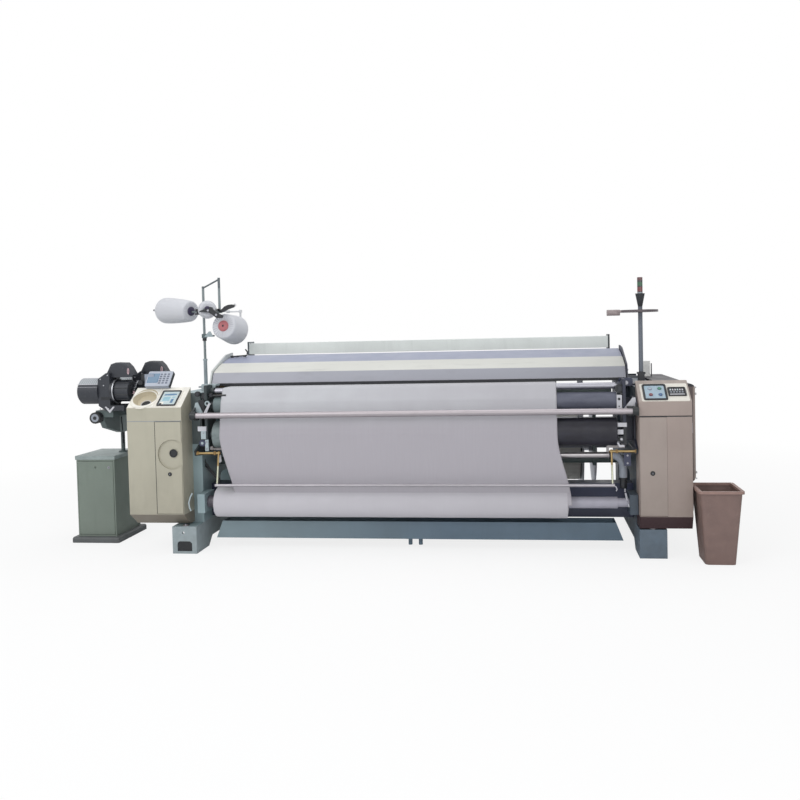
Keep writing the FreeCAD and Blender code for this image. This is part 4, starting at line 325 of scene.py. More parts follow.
finishValues = {
    # Painted light and shade: the side frames are one blue-grey casting paint, drawn as a lit copy on the left and a
    # darker shaded copy on the right. The left frame's front face is painted darker from 0.7 to 1.1 m as painted shade
    # under the hood, and the right frame is darker still above 1.04 m.
    "leftFrame": (paintFinish, (150, 170, 175), {"gloss": 0.45, "mottle": 0.12, "peel": 0.4, "grain": 0.006, "zones": [
        ((156, 168, 172), ("Z", -0.01, 0.178)), ((92, 102, 104), ("Z", 0.7, 1.1), ("Y", -1, -0.5175))]}),
    "rightFrame": (paintFinish, (70, 82, 94), {"gloss": 0.45, "mottle": 0.12, "peel": 0.4, "grain": 0.006, "zones": [
        ((94, 110, 124), ("Z", -0.01, 0.178)), ((44, 50, 60), ("Z", 1.04, 2))]}),
    "navyPaint": (paintFinish, (62, 67, 90), {"gloss": 0.4}),
    # The trough is painted paler towards its left end as painted light.
    "troughPaint": (paintFinish, (92, 112, 128), {"gloss": 0.38, "mottle": 0.12, "peel": 0.1, "dust": 0.15,
                                                  "litEnd": ((150, 168, 172), -1.5, 0.2, 0.75)}),
    "palePaint": (paintFinish, (240, 245, 242), {"mottle": 0.05, "zones": [
        ((52, 56, 62), ("X", 1.3215, 2)), ((96, 104, 110), ("X", -2, -1.3215))]}),
    "greenPaint": (paintFinish, (122, 133, 124), {
        "gloss": 0.5, "mottle": 0.07, "peel": 0.15, "grain": 0.003, "dust": 0.2, "zones": [
            ((92, 96, 98), ("Z", -0.01, 0.0402)), ((150, 161, 160), ("Z", 0.575, 2))]}),
    "bracketPaint": (paintFinish, (70, 80, 94), {"gloss": 0.4, "zones": [
        ((46, 50, 66), ("X", 1.2, 2)), ((52, 60, 62), ("X", -2, -1.2)), ((34, 38, 40), ("Y", -0.75, -0.64))]}),
    "lampPaint": (paintFinish, (106, 112, 122), {"zones": [
        ((46, 48, 52), ("Z", 1.0, 1.13)), ((92, 84, 88), ("Z", 1.502, 1.5235)),
        ((150, 138, 138), ("X", 1.0, 1.3395)), ((42, 46, 50), ("Z", 1.541, 2))]}),
    "standPaint": (paintFinish, (132, 142, 144), {"gloss": 0.4, "mottle": 0.08, "dust": 0.1, "zones": [
        ((96, 104, 108), ("Z", 1.765, 2)), ((160, 172, 178), ("Z", 1.0, 1.236)),
        ((92, 106, 108), ("Z", 1.400, 1.432)), ((226, 227, 229), ("Y", 0.12, 0.5))]}),
    "castGrey": (paintFinish, (96, 108, 108), {"gloss": 0.5, "mottle": 0.14, "peel": 0.5, "grain": 0.005}),
    "handPaint": (paintFinish, (88, 100, 100), {"gloss": 0.5, "mottle": 0.14, "peel": 0.5, "grain": 0.005, "zones": [
        ((150, 160, 158), ("Z", 0.74, 0.875), ("Y", -0.26, -0.05)), ((34, 36, 38), ("Y", -0.53, -0.4985)),
        ((34, 36, 38), ("Z", 0.84, 0.9215), ("Y", -0.53, -0.476))]}),
    "platePaint": (paintFinish, (36, 38, 56), {"gloss": 0.38, "zones": [((206, 210, 208), ("X", -2, 0))]}),
    "paleBlue": (paintFinish, (172, 186, 190), {"gloss": 0.38, "mottle": 0.08, "peel": 0.1, "dust": 0.0}),
    # Painted light and shade: both cabinets wear one beige powder coat, drawn as a lit copy on the left and darker
    # shaded copies on the right cabinet and its door. The zone above 0.9605 m on each desk is its sloping top painted
    # lighter as painted light, and the left cabinet's kick tone is its down-facing bevel painted darker as painted
    # shade.
    "leftCoat": (cabinetFinish, (182, 178, 161), {
        "kick": (126, 118, 106), "zones": [((242, 239, 230), ("Z", 0.9605, 2), ("X", -1.8442, -1.4758))],
        "recessShade": {"level": 1.1752, "colour": (204, 194, 170),
                 "ranges": [("Y", -9, -0.5215), ("X", -1.8375, -1.6705), ("Z", 0.962, 9)]}}),
    "rightCoat": (cabinetFinish, (164, 149, 142), {
        "kick": (50, 26, 31), "zones": [((176, 164, 157), ("Z", 0.9605, 2), ("X", 1.4128, 1.7232))]}),
    "doorCoat": (cabinetFinish, (164, 151, 144), {"kick": (50, 26, 31)}),
    "coverCoat": (cabinetFinish, (98, 86, 84), {"kick": (70, 52, 52), "kickTop": 0.0, "zones": [
        ((146, 132, 124), ("X", 1.764, 2), ("Y", -0.52, -0.40)), ((44, 42, 48), ("Z", 1.036, 1.0545)),
        ((236, 236, 232), ("Z", 1.0545, 2)), ((52, 50, 56), ("Z", 1.0545, 2), ("X", 1.636, 2))]}),
    "steel": (metalFinish, (166, 166, 174), {"gloss": 0.38}),
    "stopSteel": (metalFinish, (170, 167, 172), {"gloss": 0.34, "zones": [
        ((160, 138, 98), ("Z", 0.575, 2)), ((190, 192, 172), ("Z", 0.466, 0.575))]}),
    "railSteel": (metalFinish, (172, 166, 170), {"gloss": 0.42, "lines": (1, 60, 60), "size": 0.04, "tarnish": 0.08}),
    "chrome": (metalFinish, (176, 172, 174), {"gloss": 0.3, "lines": (1, 60, 60), "size": 0.04, "tarnish": 0.1}),
    "brass": (metalFinish, (160, 132, 90), {"gloss": 0.4}),
    "aluminium": (metalFinish, (196, 198, 204), {"gloss": 0.34}),
    "frontCan": (plasticFinish, (50, 53, 60), {"gloss": 0.46, "zones": [
        ((158, 166, 168), ("Z", 1.107, 1.16), ("X", -2.284, -2.141))]}),
    "rearCan": (plasticFinish, (50, 53, 60), {"gloss": 0.46, "zones": [
        ((158, 166, 168), ("Z", 1.107, 1.16), ("X", -2.139, -1.996))]}),
    "keypadCase": (plasticFinish, (158, 166, 182), {"gloss": 0.42, "zones": [
        ((36, 38, 42), ("X", -2, -1.8)), ((40, 43, 48), ("X", -1.6125, -1.5)),
        ((150, 158, 172), ("X", -1.8, -1.7805))]}),
    "rollCore": (plasticFinish, (168, 166, 178), {"gloss": 0.34, "zones": [((92, 88, 96), ("X", -2, -1.29))]}),
    "binPlastic": (plasticFinish, (124, 102, 96), {"gloss": 0.48, "grain": 0.003, "depth": 0.25, "mottle": 0.09,
                                                   "zones": [((150, 122, 114), ("Z", 0.428, 1))]}),
    "towerStack": (plasticFinish, (46, 46, 50), {"gloss": 0.24, "coat": 0.6, "zones": [
        ((112, 48, 50), ("Z", 1.636, 1.664)), ((40, 92, 62), ("Z", 1.672, 1.696)),
        ((96, 60, 62), ("Z", 1.708, 1.8)), ((150, 156, 164), ("Z", 1.6, 1.632))]}),
    "upperRubber": (rollerFinish, (84, 87, 102), {"dusty": (116, 118, 132), "pitch": 0.012, "pale": (108, 124, 124)}),
    "lowerRubber": (rollerFinish, (27, 26, 36), {"dusty": (50, 50, 62), "pitch": 0.02, "pale": (124, 136, 136)}),
    "hoodStripes": (hoodFinish, (160, 161, 170), {"cream": (207, 207, 201), "lavender": (150, 155, 175),
                                                  "creamStart": -0.38, "lavenderStart": -0.225}),
    "frontFlyer": (flyerFinish, (36, 38, 44), {"edge": -2.0375, "y": -0.425, "z": 1.056}),
    "rearFlyer": (flyerFinish, (36, 38, 44), {"edge": -1.8925, "y": -0.230, "z": 1.056}),
    # Cloth and roll: the darker tone is painted shade, low on the hanging cloth and towards the right side of both.
    "clothWeave": (clothFinish, (208, 210, 214), {"shadedTone": (178, 174, 181), "shadeStart": 0.385, "shadeEnd": 0.50}),
    "rollWeave": (clothFinish, (212, 210, 216), {"shadedTone": (188, 185, 191), "shadeStart": 0.0, "shadeEnd": 1.0}),
    "coneYarn": (yarnFinish, (226, 227, 232), {"low": (186, 188, 196), "turns": 120}),
    "warpYarn": (yarnFinish, (232, 230, 224), {"low": (200, 197, 190), "turns": 160, "slope": 0.02}),
}
plainPlastics = {
    "blackPlastic": ((36, 38, 42), 0.4), "darkPlastic": ((52, 54, 60), 0.5), "greyPlastic": ((150, 156, 166), 0.45),
    "whitePlastic": ((206, 206, 212), 0.34), "panelPlastic": ((168, 190, 204), 0.4), "keyCaps": ((112, 118, 134), 0.5),
    "creamPlate": ((236, 232, 222), 0.45), "keypadFace": ((184, 190, 202), 0.42), "beltRubber": ((30, 30, 30), 0.65),
    "coreDark": ((58, 52, 78), 0.5), "coreRed": ((188, 112, 116), 0.5), "displayPale": ((196, 212, 214), 0.22, 0.4),
    "displaySky": ((150, 190, 204), 0.22, 0.4), "displayBlue": ((92, 130, 164), 0.22, 0.4),
    "keypadGlass": ((120, 146, 170), 0.2, 0.4), "ceramicRing": ((200, 170, 176), 0.2, 0.5),
    "redButton": ((112, 26, 44), 0.3, 0.5), "greenButton": ((30, 120, 96), 0.3, 0.5),
    "blueButton": ((34, 84, 132), 0.3, 0.5), "greyButton": ((158, 170, 186), 0.3, 0.5),
}
for name, (colour, gloss, *coat) in plainPlastics.items():
    finishValues[name] = (plasticFinish, colour, {"gloss": gloss, "coat": coat[0] if coat else 0.0})
finishes = {name: mix(name, tone(*colour), **values) for name, (mix, colour, values) in finishValues.items()}
print("finishes mixed:", len(finishes))


def newTree(name, inputs, result):
    tree = bpy.data.node_groups.new(name, "GeometryNodeTree")
    for label, kind in inputs:
        tree.interface.new_socket(label, in_out="INPUT", socket_type="NodeSocket" + kind)
    tree.interface.new_socket(result, in_out="OUTPUT", socket_type="NodeSocketGeometry")
    return tree, tree.nodes.new, tree.links.new


# CAD nodes: one tree merges the loose triangles and shades all but the sharp edges smooth.
def roundedEdgesTree():
    tree, new, link = newTree("roundedEdges", (("Geometry", "Geometry"), ("Merge Distance", "Float"),
                                               ("Sharp Angle", "Float")), "Geometry")
    start, end = new("NodeGroupInput"), new("NodeGroupOutput")
    merge, angle = new("GeometryNodeMergeByDistance"), new("GeometryNodeInputMeshEdgeAngle")
    compare = new("FunctionNodeCompare")
    compare.operation = "LESS_THAN"
    faces, edges = new("GeometryNodeSetShadeSmooth"), new("GeometryNodeSetShadeSmooth")
    faces.domain, edges.domain = "FACE", "EDGE"
    link(start.outputs[0], merge.inputs["Geometry"])
    link(start.outputs[1], merge.inputs["Distance"])
    link(merge.outputs[0], faces.inputs["Geometry"])
    link(faces.outputs[0], edges.inputs["Geometry"])
    link(angle.outputs["Unsigned Angle"], compare.inputs["A"])
    link(start.outputs[2], compare.inputs["B"])
    link(compare.outputs[0], edges.inputs["Shade Smooth"])
    link(edges.outputs[0], end.inputs[0])
    return tree


def setInput(modifier, tree, name, value):
    for item in tree.interface.items_tree:
        if item.item_type == "SOCKET" and item.in_out == "INPUT" and item.name == name:
            modifier[item.identifier] = value


roundedEdges = roundedEdgesTree()
edgeSizes = {"merge": 0.00002, "sharpAngle": 0.55, "flatWithin": 0.3, "bevelOver": 40, "bevelSteps": 2}


# The edge is the width of the bevel in mm, 0 for none.
def dress(node, finish, edge):
    s = edgeSizes
    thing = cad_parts[node]
    while len(thing.material_slots) == 0:
        thing.data.materials.append(None)
    for slot in thing.material_slots:
        slot.material = finishes[finish]
    smooth = thing.modifiers.new("roundedEdges", "NODES")
    smooth.node_group = roundedEdges
    setInput(smooth, roundedEdges, "Merge Distance", s["merge"])
    setInput(smooth, roundedEdges, "Sharp Angle", s["sharpAngle"])
    if edge:
        flat = thing.modifiers.new("flatFaces", "DECIMATE")
        flat.decimate_type = "DISSOLVE"
        flat.angle_limit = math.radians(s["flatWithin"])
        bevel = thing.modifiers.new("edge", "BEVEL")
        bevel.width = edge / 1000
        bevel.segments = s["bevelSteps"]
        bevel.limit_method = "ANGLE"
        bevel.angle_limit = math.radians(s["bevelOver"])
        bevel.harden_normals = True


cadFinishes = {
    "left_side_frame": ("leftFrame", 2.5), "right_side_frame": ("rightFrame", 2.5),
    "front_beam": ("navyPaint", 2), "top_beam": ("palePaint", 2), "water_trough": ("troughPaint", 1),
    "front_rail": ("railSteel", 0), "front_brackets": ("bracketPaint", 1), "breast_tube": ("steel", 0),
    "upper_roller": ("upperRubber", 0), "lower_roller": ("lowerRubber", 0), "cloth_core": ("rollCore", 0),
    "stop_bar": ("stopSteel", 0), "hood": ("hoodStripes", 0), "hood_plates": ("platePaint", 1.5),
    "left_cabinet": ("leftCoat", 0), "right_cabinet": ("rightCoat", 3), "left_door": ("leftCoat", 0),
    "right_door": ("doorCoat", 2), "left_desk": ("leftCoat", 4), "right_desk": ("rightCoat", 4),
    "touch_screen": ("blackPlastic", 1), "button_panel": ("blackPlastic", 1), "counter": ("blackPlastic", 1),
    "grey_button": ("greyButton", 0), "green_button": ("greenButton", 0), "red_button": ("redButton", 0),
    "blue_button": ("blueButton", 0), "keypad_terminal": ("keypadCase", 2), "side_cover": ("coverCoat", 4),
    "pedestal_box": ("greenPaint", 2), "pedestal_door": ("greenPaint", 1.5), "feeder_stand": ("handPaint", 1.5),
    "front_feeder": ("frontCan", 2), "rear_feeder": ("rearCan", 2), "front_flyer": ("frontFlyer", 0),
    "rear_flyer": ("rearFlyer", 0), "yarn_stand": ("standPaint", 0), "lamp_post": ("lampPaint", 0),
    "lamp_tower": ("towerStack", 0), "waste_bin": ("binPlastic", 0), "warp_beam": ("aluminium", 0),
    "back_rest": ("steel", 0), "odd_heald_frames": ("aluminium", 0), "even_heald_frames": ("aluminium", 0),
    "sley": ("castGrey", 2), "reed": ("steel", 0), "crank_shaft": ("steel", 0), "drive_pulley": ("castGrey", 1),
    "motor_pulley": ("castGrey", 1), "main_motor": ("castGrey", 2), "weft_pump": ("steel", 0.5),
    "weft_nozzle": ("brass", 0), "suction_tube": ("chrome", 0),
}
for node, (finish, edge) in cadFinishes.items():
    dress(node, finish, edge)
print("nodes dressed:", len(cadFinishes))


def ringAt(bm, centre, across, other, radius, sides):
    turns = [fullTurn * step / sides for step in range(sides)]
    return [bm.verts.new(centre + (across * math.cos(turn) + other * math.sin(turn)) * radius / 1000) for turn in turns]


# Faces between two rings; a ring of one point closes a pole.
def bridge(bm, first, second, number=0):
    sides = max(len(first), len(second))
    faces = []
    for step in range(sides):
        after = (step + 1) % sides
        around = ((first, step), (first, after), (second, after), (second, step))
        corners = list(dict.fromkeys(ring[spot % len(ring)] for ring, spot in around))
        if len(corners) > 2:
            faces.append(bm.faces.new(corners))
            faces[-1].material_index = number
    return faces


def closeEnds(bm, rings, number=0):
    faces = [bm.faces.new(ring) for ring in (list(reversed(rings[0])), rings[-1])]
    for face in faces:
        face.material_index = number
    return faces


# A turned shape: the profile gives (along the axis, radius) in mm.
def lathe(bm, origin, axis, profile, sides=32, number=0):
    axis = Vector(axis).normalized()
    across = axis.orthogonal().normalized()
    other = axis.cross(across)
    rings = []
    for along, radius in profile:
        centre = origin + axis * along / 1000
        rings.append([bm.verts.new(centre)] if radius <= 0 else ringAt(bm, centre, across, other, radius, sides))
    faces = [face for first, second in zip(rings, rings[1:]) for face in bridge(bm, first, second, number)]
    if len(rings[0]) > 1 and rings[0][0].co != rings[-1][0].co:
        faces += closeEnds(bm, rings, number)
    return faces


def pipeAlong(bm, points, radius, sides=12, number=0, closed=False):
    rings = []
    up = None
    count = len(points)
    for index, point in enumerate(points):
        before = points[index - 1] if index or closed else point
        after = points[(index + 1) % count] if index < count - 1 or closed else point
        heading = (after - before).normalized()
        up = heading.orthogonal() if up is None else up - heading * up.dot(heading)
        up.normalize()
        rings.append(ringAt(bm, point, up, heading.cross(up), radius, sides))
    for first, second in list(zip(rings, rings[1:])) + ([(rings[-1], rings[0])] if closed else []):
        bridge(bm, first, second, number)
    if not closed:
        closeEnds(bm, rings, number)


def newPiece(bm, name, materials):
    mesh = bpy.data.meshes.new(name)
    bm.to_mesh(mesh)
    bm.free()
    for material in materials:
        mesh.materials.append(finishes[material])
    piece = bpy.data.objects.new(name, mesh)
    bpy.context.collection.objects.link(piece)
    return piece


def finishPiece(bm, name, materials, body="loom", sharp=35):
    bmesh.ops.remove_doubles(bm, verts=bm.verts, dist=0.000004)
    bmesh.ops.recalc_face_normals(bm, faces=bm.faces)
    for face in bm.faces:
        face.smooth = True
    for line in bm.edges:
        line.smooth = line.calc_face_angle(0) < math.radians(sharp)
    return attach(newPiece(bm, name, materials), body)


# A sheet is one layer of faces that gets its thickness, in mm, from a modifier.
def hangSheet(bm, name, finish, thick):
    for face in bm.faces:
        face.smooth = True
    sheet = newPiece(bm, name, [finish])
    wall = sheet.modifiers.new("wall", "SOLIDIFY")
    wall.thickness = thick / 1000
    wall.offset = 0
    return sheet


def grid(bm, rows, uvs):
    layer = bm.loops.layers.uv.verify()
    verts = [[bm.verts.new(spot) for spot in row] for row in rows]
    for i in range(len(rows) - 1):
        for j in range(len(rows[0]) - 1):
            spots = ((i, j), (i, j + 1), (i + 1, j + 1), (i + 1, j))
            face = bm.faces.new([verts[a][b] for a, b in spots])
            for loop, (a, b) in zip(face.loops, spots):
                loop[layer].uv = uvs[a][b]


# Rows of places round an axis along x, with the seam doubled for the UV map.
def turnedRows(profile, y, z, sides):
    turns = [fullTurn * step / sides for step in range(sides + 1)]
    return turns, [[at(x, y + radius * math.cos(turn), z + radius * math.sin(turn)) for turn in turns]
                   for x, radius in profile]


# The line that a band takes round rollers: each stop is (y, z, radius), the band on its outer side.
def tangentLine(stops, lift, step):
    legs = []
    for (y1, z1, r1), (y2, z2, r2) in zip(stops, stops[1:]):
        span = math.hypot(y2 - y1, z2 - z1)
        along = ((y2 - y1) / span, (z2 - z1) / span)
        lean = (r1 - r2) / span
        side = math.sqrt(1 - lean * lean)
        out = (along[0] * lean + along[1] * side, along[1] * lean - along[0] * side)
        legs.append(((y1 + out[0] * (r1 + lift), z1 + out[1] * (r1 + lift)),
                     (y2 + out[0] * (r2 + lift), z2 + out[1] * (r2 + lift))))
    line = []
    for number, (start, end) in enumerate(legs):
        count = max(1, round(math.dist(start, end) / step))
        for part in range(count + 1):
            share = part / count
            line.append((start[0] + (end[0] - start[0]) * share, start[1] + (end[1] - start[1]) * share))
        if number < len(legs) - 1:
            y, z, radius = stops[number + 1]
            first = math.atan2(end[1] - z, end[0] - y)
            last = math.atan2(legs[number + 1][0][1] - z, legs[number + 1][0][0] - y)
            sweep = (last - first) % fullTurn
            count = max(2, round(sweep * (radius + lift) / step * 2))
            for part in range(1, count):
                turn = first + sweep * part / count
                line.append((y + (radius + lift) * math.cos(turn), z + (radius + lift) * math.sin(turn)))
    return line


def lengths(line):
    total = [0.0]
    for first, second in zip(line, line[1:]):
        total.append(total[-1] + math.dist(first, second) / 1000)
    return total


def smoothStep(value, low, high):
    share = min(1, max(0, (value - low) / (high - low)))
    return share * share * (3 - 2 * share)


# Cloth from the fell to the roll. Each wave is (turns across, turns along, height).
clothSizes = {
    "left": -1235, "right": 925, "drift": 82, "lean": 0.0957, "hidden": 95.5, "thick": 1.5, "columns": 220, "step": 9,
    "turnDown": 769, "ripple": 1.1, "waves": ((31, 5, 0.5), (83, -9, 0.3), (12, 17, 0.7)), "freeFrom": 20,
    "freeOver": 120, "stillUnder": 90, "freeAbove": 200,
    "stops": [(335, 1073.3, 0), (130, 1053, 20.3), (120, 963, 52.3), (120, 769, 87.3), (130, 322, 98.3)],
}


# Below the lower roller the sheet leans back, meets the roll on its upper front and ends under the outer layer.
def leanToRoll(y, z):
    s = clothSizes
    if z > s["turnDown"]:
        return y, z
    rollY, rollZ = s["stops"][-1][:2]
    under = rollY - math.sqrt(max(0, s["hidden"] ** 2 - (z - rollZ) ** 2))
    return min(y + (s["turnDown"] - z) * s["lean"], under), z


def makeCloth():
    s = clothSizes
    line = [leanToRoll(y, z) for y, z in tangentLine(s["stops"], s["thick"] / 2, s["step"])]
    travel = lengths(line)
    rows = []
    uvs = []
    bottom = line[-1][1]
    for index, ((y, z), v) in enumerate(zip(line, travel)):
        before = line[max(0, index - 1)]
        after = line[min(len(line) - 1, index + 1)]
        heading = Vector((0, after[0] - before[0], after[1] - before[1])).normalized()
        outward = Vector((0, heading.z, -heading.y))
        shift = s["drift"] * smoothStep(s["turnDown"] - z, 0, s["turnDown"] - bottom)
        free = smoothStep(s["turnDown"] - s["freeFrom"] - z, 0, s["freeOver"])
        free *= smoothStep(z - bottom, s["stillUnder"], s["freeAbove"])
        row = []
        marks = []
        for column in range(s["columns"] + 1):
            across = column / s["columns"]
            x = s["left"] + (s["right"] - s["left"]) * across + shift
            wave = sum(height * math.sin(across * a + v * b) for a, b, height in s["waves"])
            row.append(at(x, y, z) + outward * (free * s["ripple"] * wave) / 1000)
            marks.append(((x - s["left"]) / 1000, v))
        rows.append(row)
        uvs.append(marks)
    bm = bmesh.new()
    grid(bm, rows, uvs)
    cloth = hangSheet(bm, "wovenCloth", "clothWeave", s["thick"] * 0.8)
    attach(cloth, "loom")
    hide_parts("cloth")


# The wound roll: layers of cloth with slightly shifted edges, seen at both ends.
rollSizes = {
    "y": 130, "z": 322, "radius": 98, "bore": 37, "left": -1294, "right": 992, "layers": 26, "sides": 96, "steps": 60,
    "edgeShift": 2.2, "leftEdge": 2.4, "lip": 0.5, "taper": 12, "swell": 0.35, "swells": 40,
}


def makeClothRoll():
    s = rollSizes
    rng = random.Random(5)
    gap = (s["radius"] - s["bore"]) / s["layers"]
    steps = [(s["bore"] + layer * gap, rng.uniform(0, s["edgeShift"])) for layer in range(s["layers"] + 1)]
    profile = []
    for radius, dip in steps:
        edge = s["left"] + s["leftEdge"] - dip
        middle = radius + gap * 0.5
        profile += [(edge + s["lip"], radius), (edge, middle if middle < s["radius"] else radius)]
    start, end = s["left"] + 4, s["right"] - 14
    for part in range(s["steps"] + 1):
        share = part / s["steps"]
        swell = s["swell"] * math.sin(share * s["swells"]) - 0.5 * (share > 0.97)
        profile.append((start + (end - start) * share, s["radius"] - 0.5 + swell))
    for radius, dip in reversed(steps):
        cone = s["taper"] * (radius - s["bore"]) / (s["radius"] - s["bore"])
        profile.append((s["right"] - cone - dip, radius))
    turns, rows = turnedRows(profile, s["y"], s["z"], s["sides"])
    uvs = [[(v, turn * s["radius"] / 1000) for turn in turns] for v in lengths(profile)]
    bm = bmesh.new()
    grid(bm, rows, uvs)
    bmesh.ops.remove_doubles(bm, verts=bm.verts, dist=0.00001)
    roll = finishPiece(bm, "woundCloth", ["rollWeave"], "cloth_roll", sharp=50)
    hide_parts("cloth_roll")


makeClothRoll()
makeCloth()
print("cloth and roll made")


# Warp: wound yarn on the beam, and the sheet of threads that runs over the back rest.
warpSizes = {
    "beamY": 1470, "beamZ": 520, "yarn": 300, "barrel": 76, "low": -1242, "high": 1138, "sides": 120, "turns": 120,
    "groove": 1.2, "restY": 1250, "restZ": 1110, "rest": 60.3, "fellY": 335.3, "fellZ": 1073.3, "left": -1235,
    "right": 925, "threads": 216, "threadEdges": (0.08, 0.92), "threadThick": 1.2,
}


def makeWarp():
    s = warpSizes
    profile = [(s["low"], s["barrel"]), (s["low"], s["yarn"] - 3)]
    for part in range(s["turns"] + 1):
        x = s["low"] + (s["high"] - s["low"]) * (part / s["turns"])
        profile.append((x, s["yarn"] - s["groove"] * (part % 2)))
    profile += [(s["high"], s["yarn"] - 3), (s["high"], s["barrel"])]
    turns, rows = turnedRows(profile, s["beamY"], s["beamZ"], s["sides"])
    bm = bmesh.new()
    grid(bm, rows, [[(turn * 0.3, x / 1000) for turn in turns] for x, _ in profile])
    bmesh.ops.remove_doubles(bm, verts=bm.verts, dist=0.00001)
    yarn = finishPiece(bm, "woundWarp", ["warpYarn"], "warp_beam", sharp=60)
    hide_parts("warp_yarn")


def makeWarpSheet():
    s = warpSizes
    stops = [(s["beamY"], s["beamZ"], s["yarn"] + 0.3), (s["restY"], s["restZ"], s["rest"]),
             (s["fellY"], s["fellZ"], 0)]
    line = tangentLine(stops, 1.0, 24)
    travel = lengths(line)
    pitch = (s["right"] - s["left"]) / s["threads"]
    bm = bmesh.new()
    for thread in range(s["threads"]):
        x = s["left"] + thread * pitch
        rows = [[at(x + pitch * edge, y, z) for edge in s["threadEdges"]] for y, z in line]
        grid(bm, rows, [[(edge * 0.005, v) for edge in s["threadEdges"]] for v in travel])
    sheet = hangSheet(bm, "warpThreads", "warpYarn", s["threadThick"])
    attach(sheet, "loom")
    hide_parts("warp_sheet")


makeWarp()
makeWarpSheet()
print("warp wound")


# Yarn cones on the stand: the outline gives (along the axis, radius), core the finish of the tube's end.
coneSizes = {
    "left": {"at": (-1714, 750, 1603), "axis": (-0.902, 0.431, 0.05), "core": 1, "tip": True,
             "outline": [(0, 66), (3, 73), (12, 77), (60, 84), (120, 90), (190, 95), (250, 97), (276, 96), (290, 91),
                         (306, 80), (324, 66), (344, 50), (362, 36), (374, 25)]},
    "middle": {"at": (-1520, 587, 1609), "axis": (-0.391, 0.920, 0), "core": 1, "tip": False,
               "outline": [(0, 42), (2, 49), (8, 51), (40, 58), (80, 63), (99, 66), (108, 65), (117, 57), (127, 41),
                           (135, 21)]},
    "right": {"at": (-1426, 640, 1487), "axis": (0.113, 0.978, -0.176), "core": 2, "tip": False,
              "outline": [(0, 80), (3, 88), (12, 92), (50, 96), (100, 101), (150, 106), (178, 107), (192, 99),
                          (204, 82), (213, 58), (218, 34)]},
}
# What shows of the tubes: the pin and the big end sit in every cone, the tip on a long one, the plug on a short one.
conePieces = {
    "tube": [(-7, 6), (-7, 24), (-5, 27), (-1, 28), (6, 27), (6, 6), (-7, 6)], "tubeGrowth": 1.18,
    "pin": [(-3, 0), (-3, 8), (8, 8), (8, 0)], "plug": [(-6, 0), (-6, 22.4), (1, 21.6), (1, 0)],
    "yarnTip": [(-4, 0), (-4, 23), (8, 18), (26, 11), (30, 9), (30, 0)],
    "tubeTip": [(28, 0), (28, 8), (44, 7), (48, 4), (48, 0)], "usualRadius": 76,
}


def makeCone(bm, spec):
    s = conePieces
    origin = at(*spec["at"])
    axis = Vector(spec["axis"]).normalized()
    layer = bm.loops.layers.uv.verify()
    size = spec["outline"][2][1] / s["usualRadius"]
    length = spec["outline"][-1][0]
    faces = lathe(bm, origin, axis, [(3, 24 * size), (0, 30 * size)] + spec["outline"], 64, 0)
    across = axis.orthogonal().normalized()
    other = axis.cross(across)
    for face in faces:
        spots = [loop.vert.co - origin for loop in face.loops]
        angles = [math.atan2(spot.dot(other), spot.dot(across)) / fullTurn for spot in spots]
        for loop, spot, value in zip(face.loops, spots, angles):
            if max(angles) - min(angles) > 0.5 and value < 0:
                value += 1
            loop[layer].uv = (value * 0.3, spot.dot(axis))
    parts = [(s["tube"], 0, size, size * s["tubeGrowth"], 32, spec["core"]), (s["pin"], 0, 1, size, 24, 3)]
    if spec["tip"]:
        parts += [(s["yarnTip"], length, 1, 1, 28, 0), (s["tubeTip"], length, 1, 1, 20, 3)]
    else:
        parts.append((s["plug"], length, 1, size, 28, spec["core"]))
    for outline, start, stretch, growth, sides, number in parts:
        profile = [(start + along * stretch, radius * growth) for along, radius in outline]
        lathe(bm, origin, axis, profile, sides, number)


def makeCones():
    bm = bmesh.new()
    for spec in coneSizes.values():
        makeCone(bm, spec)
    cones = finishPiece(bm, "yarnCones", ["coneYarn", "coreDark", "coreRed", "blackPlastic"], "loom", sharp=50)
    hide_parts("yarn_cones")


makeCones()
print("cones wound")


beltSizes = {
    "pulley": (720, 600, 130.3), "motor": (1050, 200, 55.3), "pulleySteps": 40, "motorSteps": 20, "low": 1603,
    "high": 1642, "thick": 6, "ribs": 4,
}


def makeBelt():
    s = beltSizes
    (y1, z1, r1), (y2, z2, r2) = s["pulley"], s["motor"]
    base = math.atan2(z2 - z1, y2 - y1)
    spread = math.acos((r1 - r2) / math.hypot(y2 - y1, z2 - z1))
    loop = []
    for stop, start, sweep, steps in ((s["pulley"], base + spread, fullTurn - 2 * spread, s["pulleySteps"]),
                                      (s["motor"], base - spread, 2 * spread, s["motorSteps"])):
        loop += [(*stop, start + sweep * step / (steps - 1)) for step in range(steps)]
    width = (s["high"] - s["low"]) / s["ribs"]
    section = [(s["low"], 0)]
    for rib in range(s["ribs"]):
        for share, lift in ((0.15, 0.3), (0.35, s["thick"]), (0.8, s["thick"]), (0.95, 3.5)):
            section.append((s["low"] + (rib + share) * width, lift))
    section.append((s["high"], 0))
    bm = bmesh.new()
    rings = [[bm.verts.new(at(x, y + (radius + lift) * math.cos(turn), z + (radius + lift) * math.sin(turn)))
              for x, lift in section] for y, z, radius, turn in loop]
    for first, second in zip(rings, rings[1:] + rings[:1]):
        bridge(bm, first, second)
    belt = finishPiece(bm, "driveBelt", ["beltRubber"], "loom", sharp=30)
    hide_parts("drive_belt")


# Ribbed hose: a short way out, a quarter bend, then straight down into a black connector and a rod.
hoseSizes = {
    "startX": 1246, "tubeEnd": 1259, "y": 150, "z": 617, "bend": 72, "endZ": 470, "radius": 26, "ribs": 22,
    "ribSteps": 6, "ribDepth": 2.4, "sides": 36, "cuffLow": 408, "rod": 5, "rodLow": 384,
    "collar": [(0, 27.5), (12, 27.5), (12, 25), (0, 25), (0, 27.5)],
    "cuff": [(-6, 27), (0, 27), (2, 22), (10, 22), (10, 20.5), (14, 20.5), (14, 22), (58, 22), (62, 18)],
}


